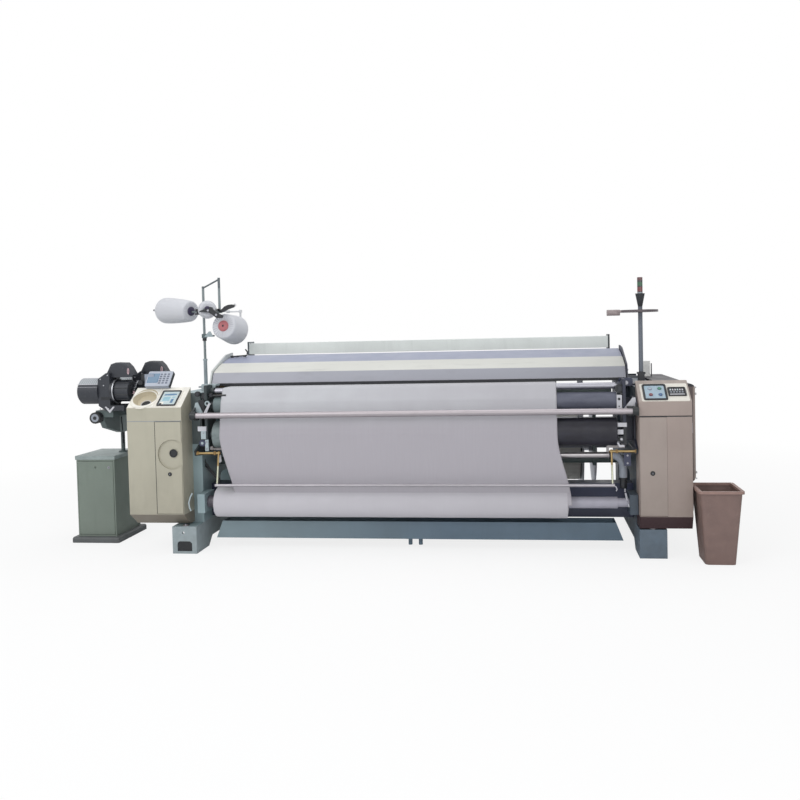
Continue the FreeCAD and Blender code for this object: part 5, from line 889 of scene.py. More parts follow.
def makeHose():
    s = hoseSizes
    straight = s["tubeEnd"] - s["startX"]
    arc = s["bend"] * math.pi / 2
    total = straight + arc + (s["z"] - s["bend"] - s["endZ"])
    x = s["tubeEnd"] + s["bend"]

    def spot(way):
        if way < straight:
            return at(s["startX"] + way, s["y"], s["z"]), Vector(toRight)
        if way < straight + arc:
            turn = (way - straight) / s["bend"]
            place = at(s["tubeEnd"] + s["bend"] * math.sin(turn), s["y"], s["z"] - s["bend"] * (1 - math.cos(turn)))
            return place, Vector((math.cos(turn), 0, -math.sin(turn)))
        return at(x, s["y"], s["z"] - s["bend"] - (way - straight - arc)), Vector(toFloor)

    bm = bmesh.new()
    rings = []
    steps = s["ribs"] * s["ribSteps"]
    side = Vector(toBack)
    for step in range(steps + 1):
        centre, heading = spot(total * step / steps)
        radius = s["radius"] - s["ribDepth"] * (0.5 - 0.5 * math.cos(fullTurn * step / s["ribSteps"])) ** 0.7
        rings.append(ringAt(bm, centre, side, heading.cross(side), radius, s["sides"]))
    for first, second in zip(rings, rings[1:]):
        bridge(bm, first, second)
    closeEnds(bm, rings)
    lathe(bm, at(x, s["y"], s["endZ"]), toFloor, s["cuff"], 36, 1)
    rod = [(0, s["rod"]), (s["cuffLow"] - s["rodLow"] + 2, s["rod"])]
    lathe(bm, at(x + 10, s["y"], s["cuffLow"] + 2), toFloor, rod, 16, 2)
    lathe(bm, at(s["startX"], s["y"], s["z"]), toRight, s["collar"], 36, 1)
    hose = finishPiece(bm, "ribbedHose", ["greyPlastic", "blackPlastic", "whitePlastic"], "loom", sharp=50)
    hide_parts("ribbed_hose")


makeBelt()
makeHose()
print("belt and hose made")


# Ways to lay out small shapes: plates stand up facing front or side, or lie on a desk's or the keypad's slope.
def frontSpot(x, z, y):
    return at(x, y, z)


def sideSpot(y, z, x):
    return at(x, y, z)


# The sloping desk tops: along the slope from its front edge, then lift off it.
def deskSpot(x, along, lift):
    return at(x, 0.8 * along - 0.6 * lift, 960 + 0.6 * along + 0.8 * lift)


def keypadSpot(x, along, lift):
    return at(x, 125 + 0.6428 * along - 0.766 * lift, 1092 + 0.766 * along + 0.6428 * lift)


def boxFaces(bm, corners, number=0):
    verts = [bm.verts.new(corner) for corner in corners]
    for side in ((0, 1, 3, 2), (4, 6, 7, 5), (0, 4, 5, 1), (2, 3, 7, 6), (0, 2, 6, 4), (1, 5, 7, 3)):
        bm.faces.new([verts[i] for i in side]).material_index = number


def slab(bm, spot, low, high, number=0):
    sides = list(zip(low, high))
    boxFaces(bm, [spot(x, y, z) for x in sides[0] for y in sides[1] for z in sides[2]], number)


def cutPlate(bm, spot, outline, low, high, number=0):
    rings = [[bm.verts.new(spot(x, y, level)) for x, y in outline] for level in (low, high)]
    bridge(bm, *rings, number)
    closeEnds(bm, rings, number)


def roundCorners(x1, y1, x2, y2, radius, steps=4):
    outline = []
    for x, y, start in ((x2 - radius, y1 + radius, -90), (x2 - radius, y2 - radius, 0), (x1 + radius, y2 - radius, 90),
                        (x1 + radius, y1 + radius, 180)):
        for step in range(steps + 1):
            turn = math.radians(start + 90 * step / steps)
            outline.append((x + radius * math.cos(turn), y + radius * math.sin(turn)))
    return outline


def disc(bm, spot, axis, radius, thick, number=0, sides=28, hole=0):
    ease = min(0.8, thick * 0.4)
    outline = [(0, hole), (0, radius - ease), (ease, radius), (thick - ease, radius), (thick, radius - ease),
               (thick, hole)]
    if hole:
        outline.append((0, hole))
    lathe(bm, spot, axis, outline, sides, number)


# Rows of small shapes, in mm; the number that ends or nearly ends each row picks the finish of the piece.
# block: low corner, high corner, number          disc: centre, facing, radius, thickness, number, sides, hole
# plate: outline, near, far, number               round: two corners, corner radius, near, far, number
# pipe: points, radius, sides, number, closed
def addShapes(bm, shapes, flat=frontSpot, solid=at):
    for kind, first, *rest in shapes:
        if kind == "block":
            slab(bm, solid, first, *rest)
        elif kind == "plate":
            cutPlate(bm, flat, first, *rest)
        elif kind == "round":
            cutPlate(bm, flat, roundCorners(*first, rest[0]), *rest[1:])
        elif kind == "disc":
            disc(bm, solid(*first), *rest)
        else:
            pipeAlong(bm, [solid(*point) for point in first], *rest)


# Points on a circle or an arc, in mm: "across" and "up" are the two directions it lies in, the turns in degrees.
def circle(centre, radius, count, across, up, start=0, sweep=360):
    turns = [math.radians(start + sweep * step / count) for step in range(count)]
    centre, across, up = Vector(centre), Vector(across), Vector(up)
    return [tuple(centre + (across * math.cos(turn) + up * math.sin(turn)) * radius) for turn in turns]


# Desks: screen, plates and panel, laid on both slopes; the rims are (two corners, corner radius, radius, sides).
deskUp = (0, -0.6, 0.8)
deskTrim = {
    "rims": (((-1642, 18, -1522, 156), 6, 4.8, 8), ((1450, 16, 1582, 148), 9, 6, 10),
             ((1598, 50, 1697, 120), 6, 4.6, 8)),
    "buttonX": (1490, 1547), "buttonAlong": (57, 113), "ringRadius": 14, "ringHole": 11.6,
    "figures": {"count": 6, "x": 1607, "pitch": 14.2, "width": 8, "along": (96, 110)},
    "counterKeys": {"count": 5, "x": 1608, "pitch": 17, "size": 10, "along": 76},
    "sloping": [
        ("round", (-1656, 5, -1508, 169), 6, -1, 3, 0), ("round", (-1636, 24, -1528, 150), 3, 5, 5.9, 1),
        ("plate", [(-1626, 112), (-1560, 112), (-1540, 118), (-1540, 128), (-1562, 131), (-1622, 126)], 5.8, 6.2, 2),
        ("round", (-1622, 60, -1574, 100), 5, 5.8, 6.1, 6), ("round", (-1564, 40, -1546, 78), 4, 5.8, 6.2, 2),
        ("round", (-1562, 88, -1542, 100), 3, 5.8, 6.2, 6), ("round", (-1632, 27, -1606, 50), 3, 5.8, 6.1, 0),
        ("round", (-1634, 25, -1616, 38), 4, 6.0, 6.4, 3),
        ("block", (-1670, 3, -1), (-1664, 197, 2.5), 0), ("block", (-1842, 0, -1), (-1478, 5, 2), 0),
        ("disc", (-1754, 80, 0), deskUp, 90, 2, 0, 48, 82.5), ("disc", (-1754, 80, -44), deskUp, 30.5, 2, 3, 32),
        ("disc", (-1754, 80, -38.5), deskUp, 35, 1.6, 4, 32, 29.5),
        ("round", (1432, 4, 1714, 163), 8, -1, 3, 0), ("round", (1457, 23, 1575, 141), 6, 5, 6, 5),
        ("block", (1604, 56, 5), (1691, 65, 6.2), 4)],
    "upright": [("block", (1414, -2, 869), (1722, 2, 874.5), 3), ("block", (-1843, -1.2, 870.5), (-1477, 2, 873.5), 7)],
}


def makeDeskTrim():
    s = deskTrim
    bm = bmesh.new()
    addShapes(bm, s["sloping"], deskSpot, deskSpot)
    addShapes(bm, s["upright"])
    for corners, rounding, radius, sides in s["rims"]:
        pipeAlong(bm, [deskSpot(x, a, 7) for x, a in roundCorners(*corners, rounding)], radius, sides, 3, True)
    for x in s["buttonX"]:
        for along in s["buttonAlong"]:
            disc(bm, deskSpot(x, along, 5.5), deskUp, s["ringRadius"], 2, 7, 28, s["ringHole"])
    row = s["figures"]
    for step in range(row["count"]):
        x = row["x"] + step * row["pitch"]
        slab(bm, deskSpot, (x, row["along"][0], 5), (x + row["width"], row["along"][1], 6), 4 if step % 3 else 1)
    row = s["counterKeys"]
    for step in range(row["count"]):
        x = row["x"] + step * row["pitch"]
        key = roundCorners(x, row["along"], x + row["size"], row["along"] + row["size"], 2)
        cutPlate(bm, deskSpot, key, 5, 6.4, 7)
    trim = finishPiece(bm, "deskTrim", ["creamPlate", "displayPale", "displayBlue", "blackPlastic", "whitePlastic",
                                        "panelPlastic", "displaySky", "greyPlastic"])


keypadTrim = {
    "shapes": [("round", (-1777, 5, -1616, 117), 7, -1, 1.2, 3), ("round", (-1773, 28, -1697, 104), 4, 0.5, 2, 1),
               ("round", (-1770, 31, -1700, 101), 3, 1.8, 2.6, 0)],
    "columns": 3, "rows": 5, "firstX": -1692, "firstAlong": 20, "pitch": (25, 18), "key": (15, 10), "lift": 3.4,
    "rim": (-1778, 3, -1612, 120, 8),
}


def makeKeypadTrim():
    s = keypadTrim
    bm = bmesh.new()
    addShapes(bm, s["shapes"], keypadSpot, keypadSpot)
    for column in range(s["columns"]):
        for row in range(s["rows"]):
            x = s["firstX"] + column * s["pitch"][0]
            along = s["firstAlong"] + row * s["pitch"][1]
            key = roundCorners(x, along, x + s["key"][0], along + s["key"][1], 2.5)
            cutPlate(bm, keypadSpot, key, 0.5, s["lift"], 2)
    pipeAlong(bm, [keypadSpot(x, a, 0) for x, a in roundCorners(*s["rim"])], 3, 8, 3, True)
    trim = finishPiece(bm, "keypadTrim", ["keypadGlass", "displayBlue", "keyCaps", "keypadFace"])


def lock(x, z, radius):
    return [("disc", (x, 1, z), toFront, radius + 2.5, 2.2, 0, 32), ("disc", (x, 1, z), toFront, radius, 5, 0, 32),
            ("block", (x - 1.2, -4.8, z - 5), (x + 1.2, -3.5, z + 5), 1)]


# Locks, the bore's cover and the edge strip, each on its own door, with y counted from the door's face.
doorTrim = {
    "left_door": ("left_doorLock", ["blackPlastic", "steel"], lock(-1563, 527, 11) + [
        ("disc", (-1538, 9.5, 662), toFront, 24, 1.5, 0, 40), ("disc", (-1538, 8, 662), toFront, 27, 3.5, 0, 40, 23),
        ("block", (-1659, -0.4, 270), (-1655.5, 1.5, 866), 0)]),
    "right_door": ("right_doorLock", ["blackPlastic", "steel"], lock(1489, 527, 12)),
    "pedestal_door": ("pedestalLock", ["steel", "blackPlastic"], [
        ("disc", (-2150, 1, 520), toFront, 9, 4, 0, 28), ("block", (-2151, -3.6, 514), (-2149, -2.8, 526), 1)]),
}


def makeDoorTrim():
    for door, (name, materials, shapes) in doorTrim.items():
        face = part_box(door)[0][1] * 1000 + frontPlane
        bm = bmesh.new()
        addShapes(bm, shapes, solid=lambda x, y, z: at(x, face + y, z))
        trim = finishPiece(bm, name, materials, door)


# Painted shade: a dark block along the hood's lower edge, with a thin steel strip along its top, stands in for the
# shaded gap between the hood and the cloth; a cable and three discs sit at the hood's left end.
hoodTrim = {"shapes": [
    ("block", (-1330, 256, 1077), (1368, 261.5, 1097), 0), ("block", (-1330, 254.5, 1095), (1368, 261.5, 1097.5), 1),
    ("pipe", [(-1358, 600, 1262), (-1316, 596, 1268), (-1268, 596, 1270), (-1240, 598, 1274), (-1238, 600, 1298),
              (-1252, 600, 1316)], 5, 8, 0),
] + [("disc", (x, 596, 1262), toTop, 11, 10, 0, 16) for x in (-1352, -1312, -1256)]}


def makeHoodShadeStripAndCable():
    bm = bmesh.new()
    addShapes(bm, hoodTrim["shapes"])
    seal = finishPiece(bm, "hoodShadeStripAndCable", ["blackPlastic", "steel"], "hood")


# Weft feeders: ribs, rings, pins and clips round the can's own axis, here for the front one.
feederTrim = {
    "axisY": 255, "axisZ": 1056, "places": (("frontFeederTrim", 0, 0), ("rearFeederTrim", 145, 195)),
    "ribs": 10, "ribX": -2279, "ribPitch": 14.2, "ribRadius": 88.2, "ribArc": (36, 108), "ribSteps": 16,
    "wires": ((1106, 2), (1088, 0.8)), "wireReach": 88.5, "wireX": (-2286, -2142),
    "pins": 10, "pinRadius": 71, "pinX": (-2028, -1934), "firstPin": 18,
    "coil": (-1912, 235, 1060), "coilRise": (0.5, 1.1), "coilRadius": 6, "coilSteps": 61, "coilPerTurn": 10,
    "shapes": [
        ("pipe", circle((-1936, 211, 1190), 1, 20, (5, 0, 0), (0, 0, 19)), 3, 8, 3, True),
        ("disc", (-2288, 255, 1056), toLeft, 52, 2, 0, 40), ("disc", (-1934, 255, 1056), toRight, 58, 5, 0, 40, 40),
        ("disc", (-1933, 255, 1056), toRight, 22, 12, 0, 28),
        ("pipe", [(-1960, 255, 962), (-1936, 255, 985), (-1924, 255, 1012), (-1920, 255, 1040)], 6, 8, 2),
        ("disc", (-1920, 247, 1044), toFront, 11, 7, 3, 20), ("block", (-2058, 181, 1000), (-2120, 183.5, 1020), 0),
    ] + [("disc", (x, 183.5, z), toFront, 4.5, 3, 2, 16)
         for x, z in ((-2128, 940), (-2070, 940), (-2070, 1166), (-2122, 1140), (-2100, 1098))],
}
# The stand that carries them: a hook, the two wheels with their pins, a hose and a collar.
feederStandTrim = {"shapes": [
    ("plate", [(-2095, 953), (-2084, 955), (-2060, 930), (-2035, 955), (-2024, 953), (-2058, 913), (-2062, 913)],
     179, 184, 0),
    ("disc", (-2157, 160, 880), toFront, 27, 2, 1, 32), ("disc", (-2157, 158.5, 880), toFront, 12, 4, 2, 24),
    ("pipe", [(-2140, 490, 640), (-2128, 470, 700), (-2122, 452, 770), (-2120, 440, 860)], 5, 10, 2),
    ("disc", (-2140, 490, 602), toTop, 33, 7, 3, 36, 14),
] + [("pipe", [(x, 162, z), (x, 200, z)], 2.2, 6, 2)
     for x, _, z in circle((-2157, 0, 880), 37.4, 12, toRight, toTop)]}


def makeFeederTrim():
    s = feederTrim
    y, z = s["axisY"], s["axisZ"]
    for name, alongX, alongY in s["places"]:
        bm = bmesh.new()

        def place(x, y, z):
            return at(x + alongX, y + alongY, z)

        shapes = list(s["shapes"])
        start, sweep = s["ribArc"]
        sweep += sweep / s["ribSteps"]
        for rib in range(s["ribs"]):
            centre = (s["ribX"] + rib * s["ribPitch"], y, z)
            arc = circle(centre, s["ribRadius"], s["ribSteps"] + 1, toBack, toTop, start, sweep)
            shapes.append(("pipe", arc, 2.2, 6, 1))
        for height, radius in s["wires"]:
            front = y - math.sqrt(s["wireReach"] ** 2 - (height - z) ** 2)
            shapes.append(("pipe", [(x, front, height) for x in s["wireX"]], radius, 8, 1))
        for _, pinY, pinZ in circle((0, y, z), s["pinRadius"], s["pins"], toBack, toTop, s["firstPin"]):
            shapes.append(("pipe", [(x, pinY, pinZ) for x in s["pinX"]], 3, 8, 0))
        coil = []
        for step in range(s["coilSteps"]):
            turn = fullTurn * step / s["coilPerTurn"]
            (coilX, coilY, coilZ), (onward, upward), reach = s["coil"], s["coilRise"], s["coilRadius"]
            coil.append((coilX + step * onward, coilY + reach * math.cos(turn),
                         coilZ + step * upward + reach * math.sin(turn)))
        shapes.append(("pipe", coil, 1.3, 6, 2))
        addShapes(bm, shapes, solid=place)
        trim = finishPiece(bm, name, ["blackPlastic", "whitePlastic", "aluminium", "ceramicRing"])
    bm = bmesh.new()
    addShapes(bm, feederStandTrim["shapes"])
    trim = finishPiece(bm, "standTrim", ["whitePlastic", "greyPlastic", "blackPlastic", "castGrey"])


# Yarn stand: two tensioner arms, their pivots, a clamp and the collars on the post.
yarnGuides = {"shapes": [
    ("plate", [(-1572, 1589), (-1556, 1600), (-1530, 1606), (-1509, 1612), (-1499, 1606), (-1487, 1623), (-1474, 1621),
               (-1462, 1602), (-1450, 1594), (-1420, 1572), (-1391, 1560), (-1398, 1546), (-1410, 1541), (-1443, 1544),
               (-1471, 1567), (-1504, 1587)], 552, 568, 0),
    ("plate", [(-1462, 1612), (-1452, 1596), (-1440, 1610), (-1431, 1600), (-1405, 1626), (-1378, 1637), (-1350, 1640),
               (-1327, 1636), (-1334, 1619), (-1379, 1604), (-1414, 1586), (-1440, 1584)], 612, 628, 0),
    ("pipe", [(-1482, 720, 1612), (-1478, 660, 1606), (-1462, 600, 1592), (-1450, 558, 1576)], 6, 10, 0),
    ("disc", (-1440, 550, 1566), toFront, 8, 5, 1, 20), ("disc", (-1500, 550, 1598), toFront, 8, 5, 1, 20),
    ("pipe", circle((-1327, 620, 1634), 8, 16, toRight, toTop), 2, 6, 1, True),
    ("block", (-1656, 692, 1598), (-1636, 716, 1616), 0), ("block", (-1660, 690, 1574), (-1632, 718, 1586), 0),
    ("pipe", [(-1646, 705, 1574), (-1646, 705, 1616)], 5, 8, 0),
    ("plate", [(-1600, 1410), (-1530, 1410), (-1550, 1450), (-1562, 1450)], 700, 706, 2),
    ("disc", (-1604, 720, 1382), toTop, 15, 22, 0, 24), ("disc", (-1604, 720, 1408), toTop, 14, 18, 2, 24),
    ("disc", (-1604, 720, 1236), toTop, 16, 14, 2, 24),
]}


def makeStandTrim():
    bm = bmesh.new()
    addShapes(bm, yarnGuides["shapes"])
    trim = finishPiece(bm, "yarnGuides", ["blackPlastic", "steel", "paleBlue"])


# Roller ends: bearings, plates, gussets and the brass nuts of the suction bars, left and right.
rollerEnds = {"left": [
    ("plate", [(-1399, 1052), (-1399, 1094), (-1392, 1099), (-1296, 1097), (-1316, 1052)], 156, 166, 1),
    ("block", (-1398, 160, 1085), (-1302, 230, 1096), 1),
    ("pipe", [(-1330, 96, 1026), (-1206, 96, 1026)], 7.5, 12, 0),
    ("plate", [(-1400, 984), (-1384, 986), (-1350, 912), (-1368, 908), (-1418, 912)], 54, 61, 1),
    ("plate", [(-1296, 980), (-1312, 978), (-1352, 908), (-1330, 908)], 54, 61, 2),
    ("plate", [(-1382, 1000), (-1330, 1000), (-1322, 960), (-1344, 912), (-1372, 925)], 62, 70, 0),
    ("disc", (-1322, 66, 978), toFront, 17, 9, 1, 32, 9), ("block", (-1396, 20, 872), (-1374, 52, 912), 0),
    ("disc", (-1388, 22, 896), toFront, 10, 9, 4, 6), ("block", (-1390, 56, 798), (-1333, 70, 829), 2),
    ("block", (-1369, 55, 746), (-1336, 68, 800), 1), ("disc", (-1361, 66, 720), toFront, 21, 12, 7, 32),
    ("disc", (-1361, 56, 720), toFront, 9, 4, 1, 24), ("block", (-1343, 56, 668), (-1321, 68, 742), 1),
    ("block", (-1372, 60, 700), (-1348, 72, 742), 0), ("disc", (-1251, 50, 655), toBack, 12, 4, 5, 24),
    ("plate", [(-1262, 640), (-1240, 640), (-1236, 600), (-1250, 590)], 56, 62, 2),
], "right": [
    ("plate", [(1311, 1050), (1324, 1043), (1392, 1044), (1403, 1056), (1403, 1086), (1390, 1096), (1320, 1094)],
     194, 208, 4),
    # The small white disc near the breast tube's right bearing is a painted highlight on the dark bearing.
    ("disc", (1355, 134, 1069), toFront, 12, 8, 1, 24), ("disc", (1312, 104, 1036), toFront, 30, 24, 0, 36),
    ("disc", (1312, 80, 1036), toFront, 16, 4, 5, 28), ("block", (1288, 56, 913), (1319, 66, 1000), 1),
    ("disc", (1302, 56, 975), toFront, 8, 3, 0, 20), ("disc", (1302, 56, 930), toFront, 4, 3, 5, 20),
    ("plate", [(1383, 984), (1400, 984), (1404, 912), (1327, 912)], 54, 60, 1),
    ("block", (1345, -6, 880), (1387, 46, 934), 0), ("disc", (1370, -5, 912), toFront, 9, 8, 2, 6),
    ("block", (1291, 56, 804), (1346, 66, 829), 1), ("block", (1291, 56, 758), (1325, 66, 787), 1),
    ("block", (1326, 58, 690), (1344, 70, 802), 0), ("disc", (1312, 68, 727), toFront, 20, 12, 0, 32, 9),
    ("disc", (1314, 66, 728), toFront, 8, 9, 1, 24),
    ("plate", [(1285, 706), (1296, 706), (1304, 692), (1330, 692), (1330, 681), (1300, 680)], 56, 62, 1),
    ("disc", (1276, 50, 655), toRight, 13, 14, 3, 6), ("disc", (1392, 50, 655), toRight, 13, 14, 3, 6),
    ("disc", (1251, 50, 655), toBack, 12, 4, 3, 24),
    ("pipe", [(1340, 120, 384), (1352, 112, 330), (1360, 100, 300)], 6, 10, 1),
    ("pipe", [(1258, 8, 453), (1270, 2, 446), (1276, -2, 432), (1270, -4, 420)], 4, 8, 2),
    ("block", (1330, 84, 560), (1372, 96, 640), 4),
    ("disc", (1351, 84, 576), toFront, 7, 5, 2, 6), ("disc", (1351, 84, 624), toFront, 7, 5, 2, 6),
]}
for x, z, radius in ((-1345, 1024, 27), (-1399, 1038, 18), (-1312, 1030, 16)):
    rollerEnds["left"] += [("disc", (x, 104, z), toFront, radius, 18, 0, 32),
                           ("disc", (x, 88, z), toFront, radius * 0.6, 5, 6, 24)]
rollerEnds["left"] += [("disc", (x, 156, 1075), toFront, 5, 4, 3, 20) for x in (-1380, -1356, -1332)]
rollerEnds["left"] += [("disc", (x, 56, z), toFront, 4.5, 4, 3, 16)
                       for x, z in ((-1332, 728), (-1332, 684), (-1352, 786))]
rollerEnds["left"] += [("disc", (x, 50, 655), toRight, 13, 14, 5, 6) for x in (-1398, -1282)]


def makeRollerEnds():
    bm = bmesh.new()
    addShapes(bm, rollerEnds["left"])
    trim = finishPiece(bm, "leftRollerEnd", ["blackPlastic", "paleBlue", "whitePlastic", "steel", "aluminium", "brass",
                                             "darkPlastic", "navyPaint"])
    bm = bmesh.new()
    addShapes(bm, rollerEnds["right"])
    trim = finishPiece(bm, "rightRollerEnd", ["blackPlastic", "whitePlastic", "steel", "brass", "navyPaint",
                                              "darkPlastic"])


# Lower left: cables, hook and hub at the roll's end; a black plate behind the foot's port as painted shade, and rods
# and rings on both frames.
frameTrim = {"shapes": [
    ("pipe", [(-1430, 210, 640), (-1410, 206, 574), (-1372, 200, 522), (-1336, 196, 486), (-1306, 192, 452)], 6, 10, 0),
    ("pipe", [(-1430, 210, 614), (-1410, 206, 548), (-1372, 200, 508), (-1336, 196, 472), (-1306, 192, 438)], 6, 10, 0),
    ("pipe", [(-1429, 28, 398), (-1440, 20, 372), (-1450, 18, 338), (-1446, 18, 306), (-1438, 22, 284)], 5, 8, 1),
    ("disc", (-1374, 130, 322), toLeft, 46, 14, 2, 40, 28.4), ("disc", (-1388, 130, 322), toLeft, 38, 21, 0, 36, 28.4),
    ("block", (-1543, 36, 10), (-1443, 40, 88), 0),
]}
for side in (-1, 1):
    frameTrim["shapes"] += [("pipe", [(side * 1409, 250, z), (side * 1409, 460, z)], 7, 10, 0) for z in (640, 700)]
    frameTrim["shapes"] += [("disc", (side * 1492, y, 178), toTop, 24, 5, 2, 32, 10) for y in (60, 1300)]


def makeFrameTrim():
    bm = bmesh.new()
    addShapes(bm, frameTrim["shapes"])
    trim = finishPiece(bm, "frameTrim", ["blackPlastic", "paleBlue", "chrome"])


# Drive cover at the right: louvres, a handle, hinges and screws; short louvres on the left cabinet's side.
coverTrim = {
    "louvres": 9, "low": 560, "step": 26, "length": 300, "leftLouvres": 7, "leftLow": 420, "leftStep": 24,
    "plates": [("round", (940, 700, 1000, 840), 12, 1781, 1785, 1)],
    "rods": [("pipe", [(1788, 955, 730), (1806, 955, 740), (1806, 955, 800), (1788, 955, 810)], 6, 10, 2)],
}


def makeCoverTrim():
    s = coverTrim
    shapes = s["plates"] + s["rods"]
    for row in range(s["louvres"]):
        z = s["low"] + row * s["step"]
        shapes += [("round", (560, z, 560 + s["length"], z + 9), 4, 1781, 1786, 0),
                   ("round", (566, z - 3, 554 + s["length"], z + 2), 2, 1782, 1784.5, 1)]
    for row in range(s["leftLouvres"]):
        z = s["leftLow"] + row * s["leftStep"]
        shapes.append(("round", (50, z, 130, z + 8), 4, -1847, -1844, 1))
    shapes += [("disc", (1783, y, z), toRight, 8, 3, 2, 24) for z in (500, 990) for y in (190, 1230)]
    shapes += [("pipe", [(1724.5, 20, z - 30), (1724.5, 20, z + 30)], 5, 12, 2) for z in (330, 800)]
    bm = bmesh.new()
    addShapes(bm, shapes, sideSpot)
    trim = finishPiece(bm, "coverTrim", ["coverCoat", "blackPlastic", "steel"])


# Drive motor: cooling fins round its own axis, all but the lowest, and an end cap; pump heads and their pipe.
motorTrim = {
    "radius": 85, "fins": 28, "lowest": -0.75, "finX": (1690, 1826), "finReach": (80, 84.8), "finHalf": (-1.6, 1.6),
    "capX": 1846, "capRadius": 60, "capScrews": 6, "screwCircle": 40, "pumpHeads": (560, 640, 720, 800),
    "pumpPipe": [(-1600, 200, 846), (-1590, 260, 880), (-1560, 330, 930), (-1480, 380, 1040), (-1400, 376, 1084),
                 (-1334, 375, 1088)],
}


def makeMotorTrim():
    s = motorTrim
    low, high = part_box("main_motor")
    y = (low[1] + high[1]) / 2 * 1000 + frontPlane
    z = high[2] * 1000 - s["radius"]
    bm = bmesh.new()
    for fin in range(s["fins"]):
        turn = fullTurn * fin / s["fins"]
        spot = Vector((0, math.cos(turn), math.sin(turn)))
        side = Vector((0, -math.sin(turn), math.cos(turn)))
        if math.sin(turn) >= s["lowest"]:
            boxFaces(bm, [at(x, y, z) + spot * reach / 1000 + side * wide / 1000
                          for x in s["finX"] for reach in s["finReach"] for wide in s["finHalf"]])
    shapes = [("disc", (s["capX"], y, z), toRight, s["capRadius"], 3.5, 1, 40)]
    for place in circle((s["capX"] + 3, y, z), s["screwCircle"], s["capScrews"], toBack, toTop, 30):
        shapes.append(("disc", place, toRight, 6, 0.8, 0, 16))
    low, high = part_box("weft_pump")
    x = (low[0] + high[0]) / 2 * 1000
    front = low[1] * 1000 + frontPlane
    shapes += [("disc", (x, front + 0.5, height), toFront, 26, 0.4, 2, 32) for height in s["pumpHeads"]]
    shapes.append(("pipe", s["pumpPipe"], 6, 10, 2))
    addShapes(bm, shapes)
    trim = finishPiece(bm, "driveTrim", ["castGrey", "blackPlastic", "steel"])


# Bolt heads: one tree sets a washer and a six sided head on every point, looking along its "facing".
def boltTree():
    tree, new, link = newTree("boltHeads", (("Points", "Geometry"), ("Head Size", "Float"), ("Head Height", "Float"),
                                            ("Finish", "Material")), "Bolts")
    start, end = new("NodeGroupInput"), new("NodeGroupOutput")
    join = new("GeometryNodeJoinGeometry")
    for sides, wide, high, lift in ((16, 1.45, 0.35, 0.1), (6, 1.0, 1.0, 0.6)):
        head = new("GeometryNodeMeshCylinder")
        head.inputs["Vertices"].default_value = sides
        link(sums(tree, "MULTIPLY", start.outputs["Head Size"], wide), head.inputs["Radius"])
        link(sums(tree, "MULTIPLY", start.outputs["Head Height"], high), head.inputs["Depth"])
        raised = new("ShaderNodeCombineXYZ")
        link(sums(tree, "MULTIPLY", start.outputs["Head Height"], lift), raised.inputs["Z"])
        place = new("GeometryNodeTransform")
        link(head.outputs["Mesh"], place.inputs["Geometry"])
        link(raised.outputs[0], place.inputs["Translation"])
        link(place.outputs[0], join.inputs[0])
    facing = new("GeometryNodeInputNamedAttribute")
    facing.data_type = "FLOAT_VECTOR"
    facing.inputs["Name"].default_value = "facing"
    turn = new("FunctionNodeAlignRotationToVector")
    turn.axis = "Z"
    link(facing.outputs["Attribute"], turn.inputs["Vector"])
    spread = new("GeometryNodeInstanceOnPoints")
    link(start.outputs["Points"], spread.inputs["Points"])
    link(join.outputs[0], spread.inputs["Instance"])
    link(turn.outputs[0], spread.inputs["Rotation"])
    real, paint = new("GeometryNodeRealizeInstances"), new("GeometryNodeSetMaterial")
    link(spread.outputs[0], real.inputs[0])
    link(real.outputs[0], paint.inputs["Geometry"])
    link(start.outputs["Finish"], paint.inputs["Material"])
    link(paint.outputs[0], end.inputs[0])
    return tree


boltHeads = boltTree()


def setBolts(name, body, finish, size, height, places):
    mesh = bpy.data.meshes.new(name + "Points")
    mesh.from_pydata([at(*place) for place, facing in places], [], [])
    facing = mesh.attributes.new("facing", "FLOAT_VECTOR", "POINT")
    for item, (place, way) in zip(facing.data, places):
        item.vector = way
    holder = bpy.data.objects.new(name + "Points", mesh)
    bpy.context.collection.objects.link(holder)
    repeat = holder.modifiers.new("boltHeads", "NODES")
    repeat.node_group = boltHeads
    for label, value in (("Head Size", size / 1000), ("Head Height", height / 1000), ("Finish", finishes[finish])):
        setInput(repeat, boltHeads, label, value)
    solid = bpy.data.meshes.new_from_object(holder.evaluated_get(bpy.context.evaluated_depsgraph_get()))
    bpy.data.objects.remove(holder)
    solid.name = name
    bolts = bpy.data.objects.new(name, solid)
    bpy.context.collection.objects.link(bolts)
    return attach(bolts, body)


# Each row is (place, facing); size and height are those of the head.
boltSizes = {"frameBolts": (9, 8), "panelScrews": (4, 3), "hoodPlateScrews": (6, 5), "beamFootTop": 14}


def placeBolts():
    s = boltSizes
    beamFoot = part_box("top_beam")[0][2] * 1000 + s["beamFootTop"]
    frames = []
    plates = []
    for side in (-1, 1):
        outward = (side, 0, 0)
        frames += [((side * 1492, y, 180), toTop) for y in (60, 1300)]
        frames += [((side * 1500, 1330, z), toBack) for z in (260, 420, 640, 860, 1000)]
        frames += [((side * 1452, y, beamFoot), toTop) for y in (890, 970)]
        frames += [((side * 1575, y, z), outward)
                   for y, z in ((240, 980), (240, 240), (700, 985), (1280, 980), (1280, 240), (700, 240))]
        plates += [((side * 1384, y, z), outward) for y, z in ((300, 1140), (430, 1200), (560, 1240), (640, 1262))]
        plates += [((side * 1440, y, 1050), toTop) for y in (340, 500, 660)]
    panels = [((x, y, z), facing) for x, facing in ((-1845, toLeft), (1724, toRight))
              for y in (20, 140) for z in (300, 560, 840)]
    panels += [((1783, y, z), toRight) for y in (190, 540, 890, 1230) for z in (1030, 462)]
    panels += [((x, 640, z), toBack) for x in (-2378, -2248, -2118) for z in (560, 80)]
    for name, places in (("frameBolts", frames), ("panelScrews", panels), ("hoodPlateScrews", plates)):
        setBolts(name, "loom", "steel", *s[name], places)


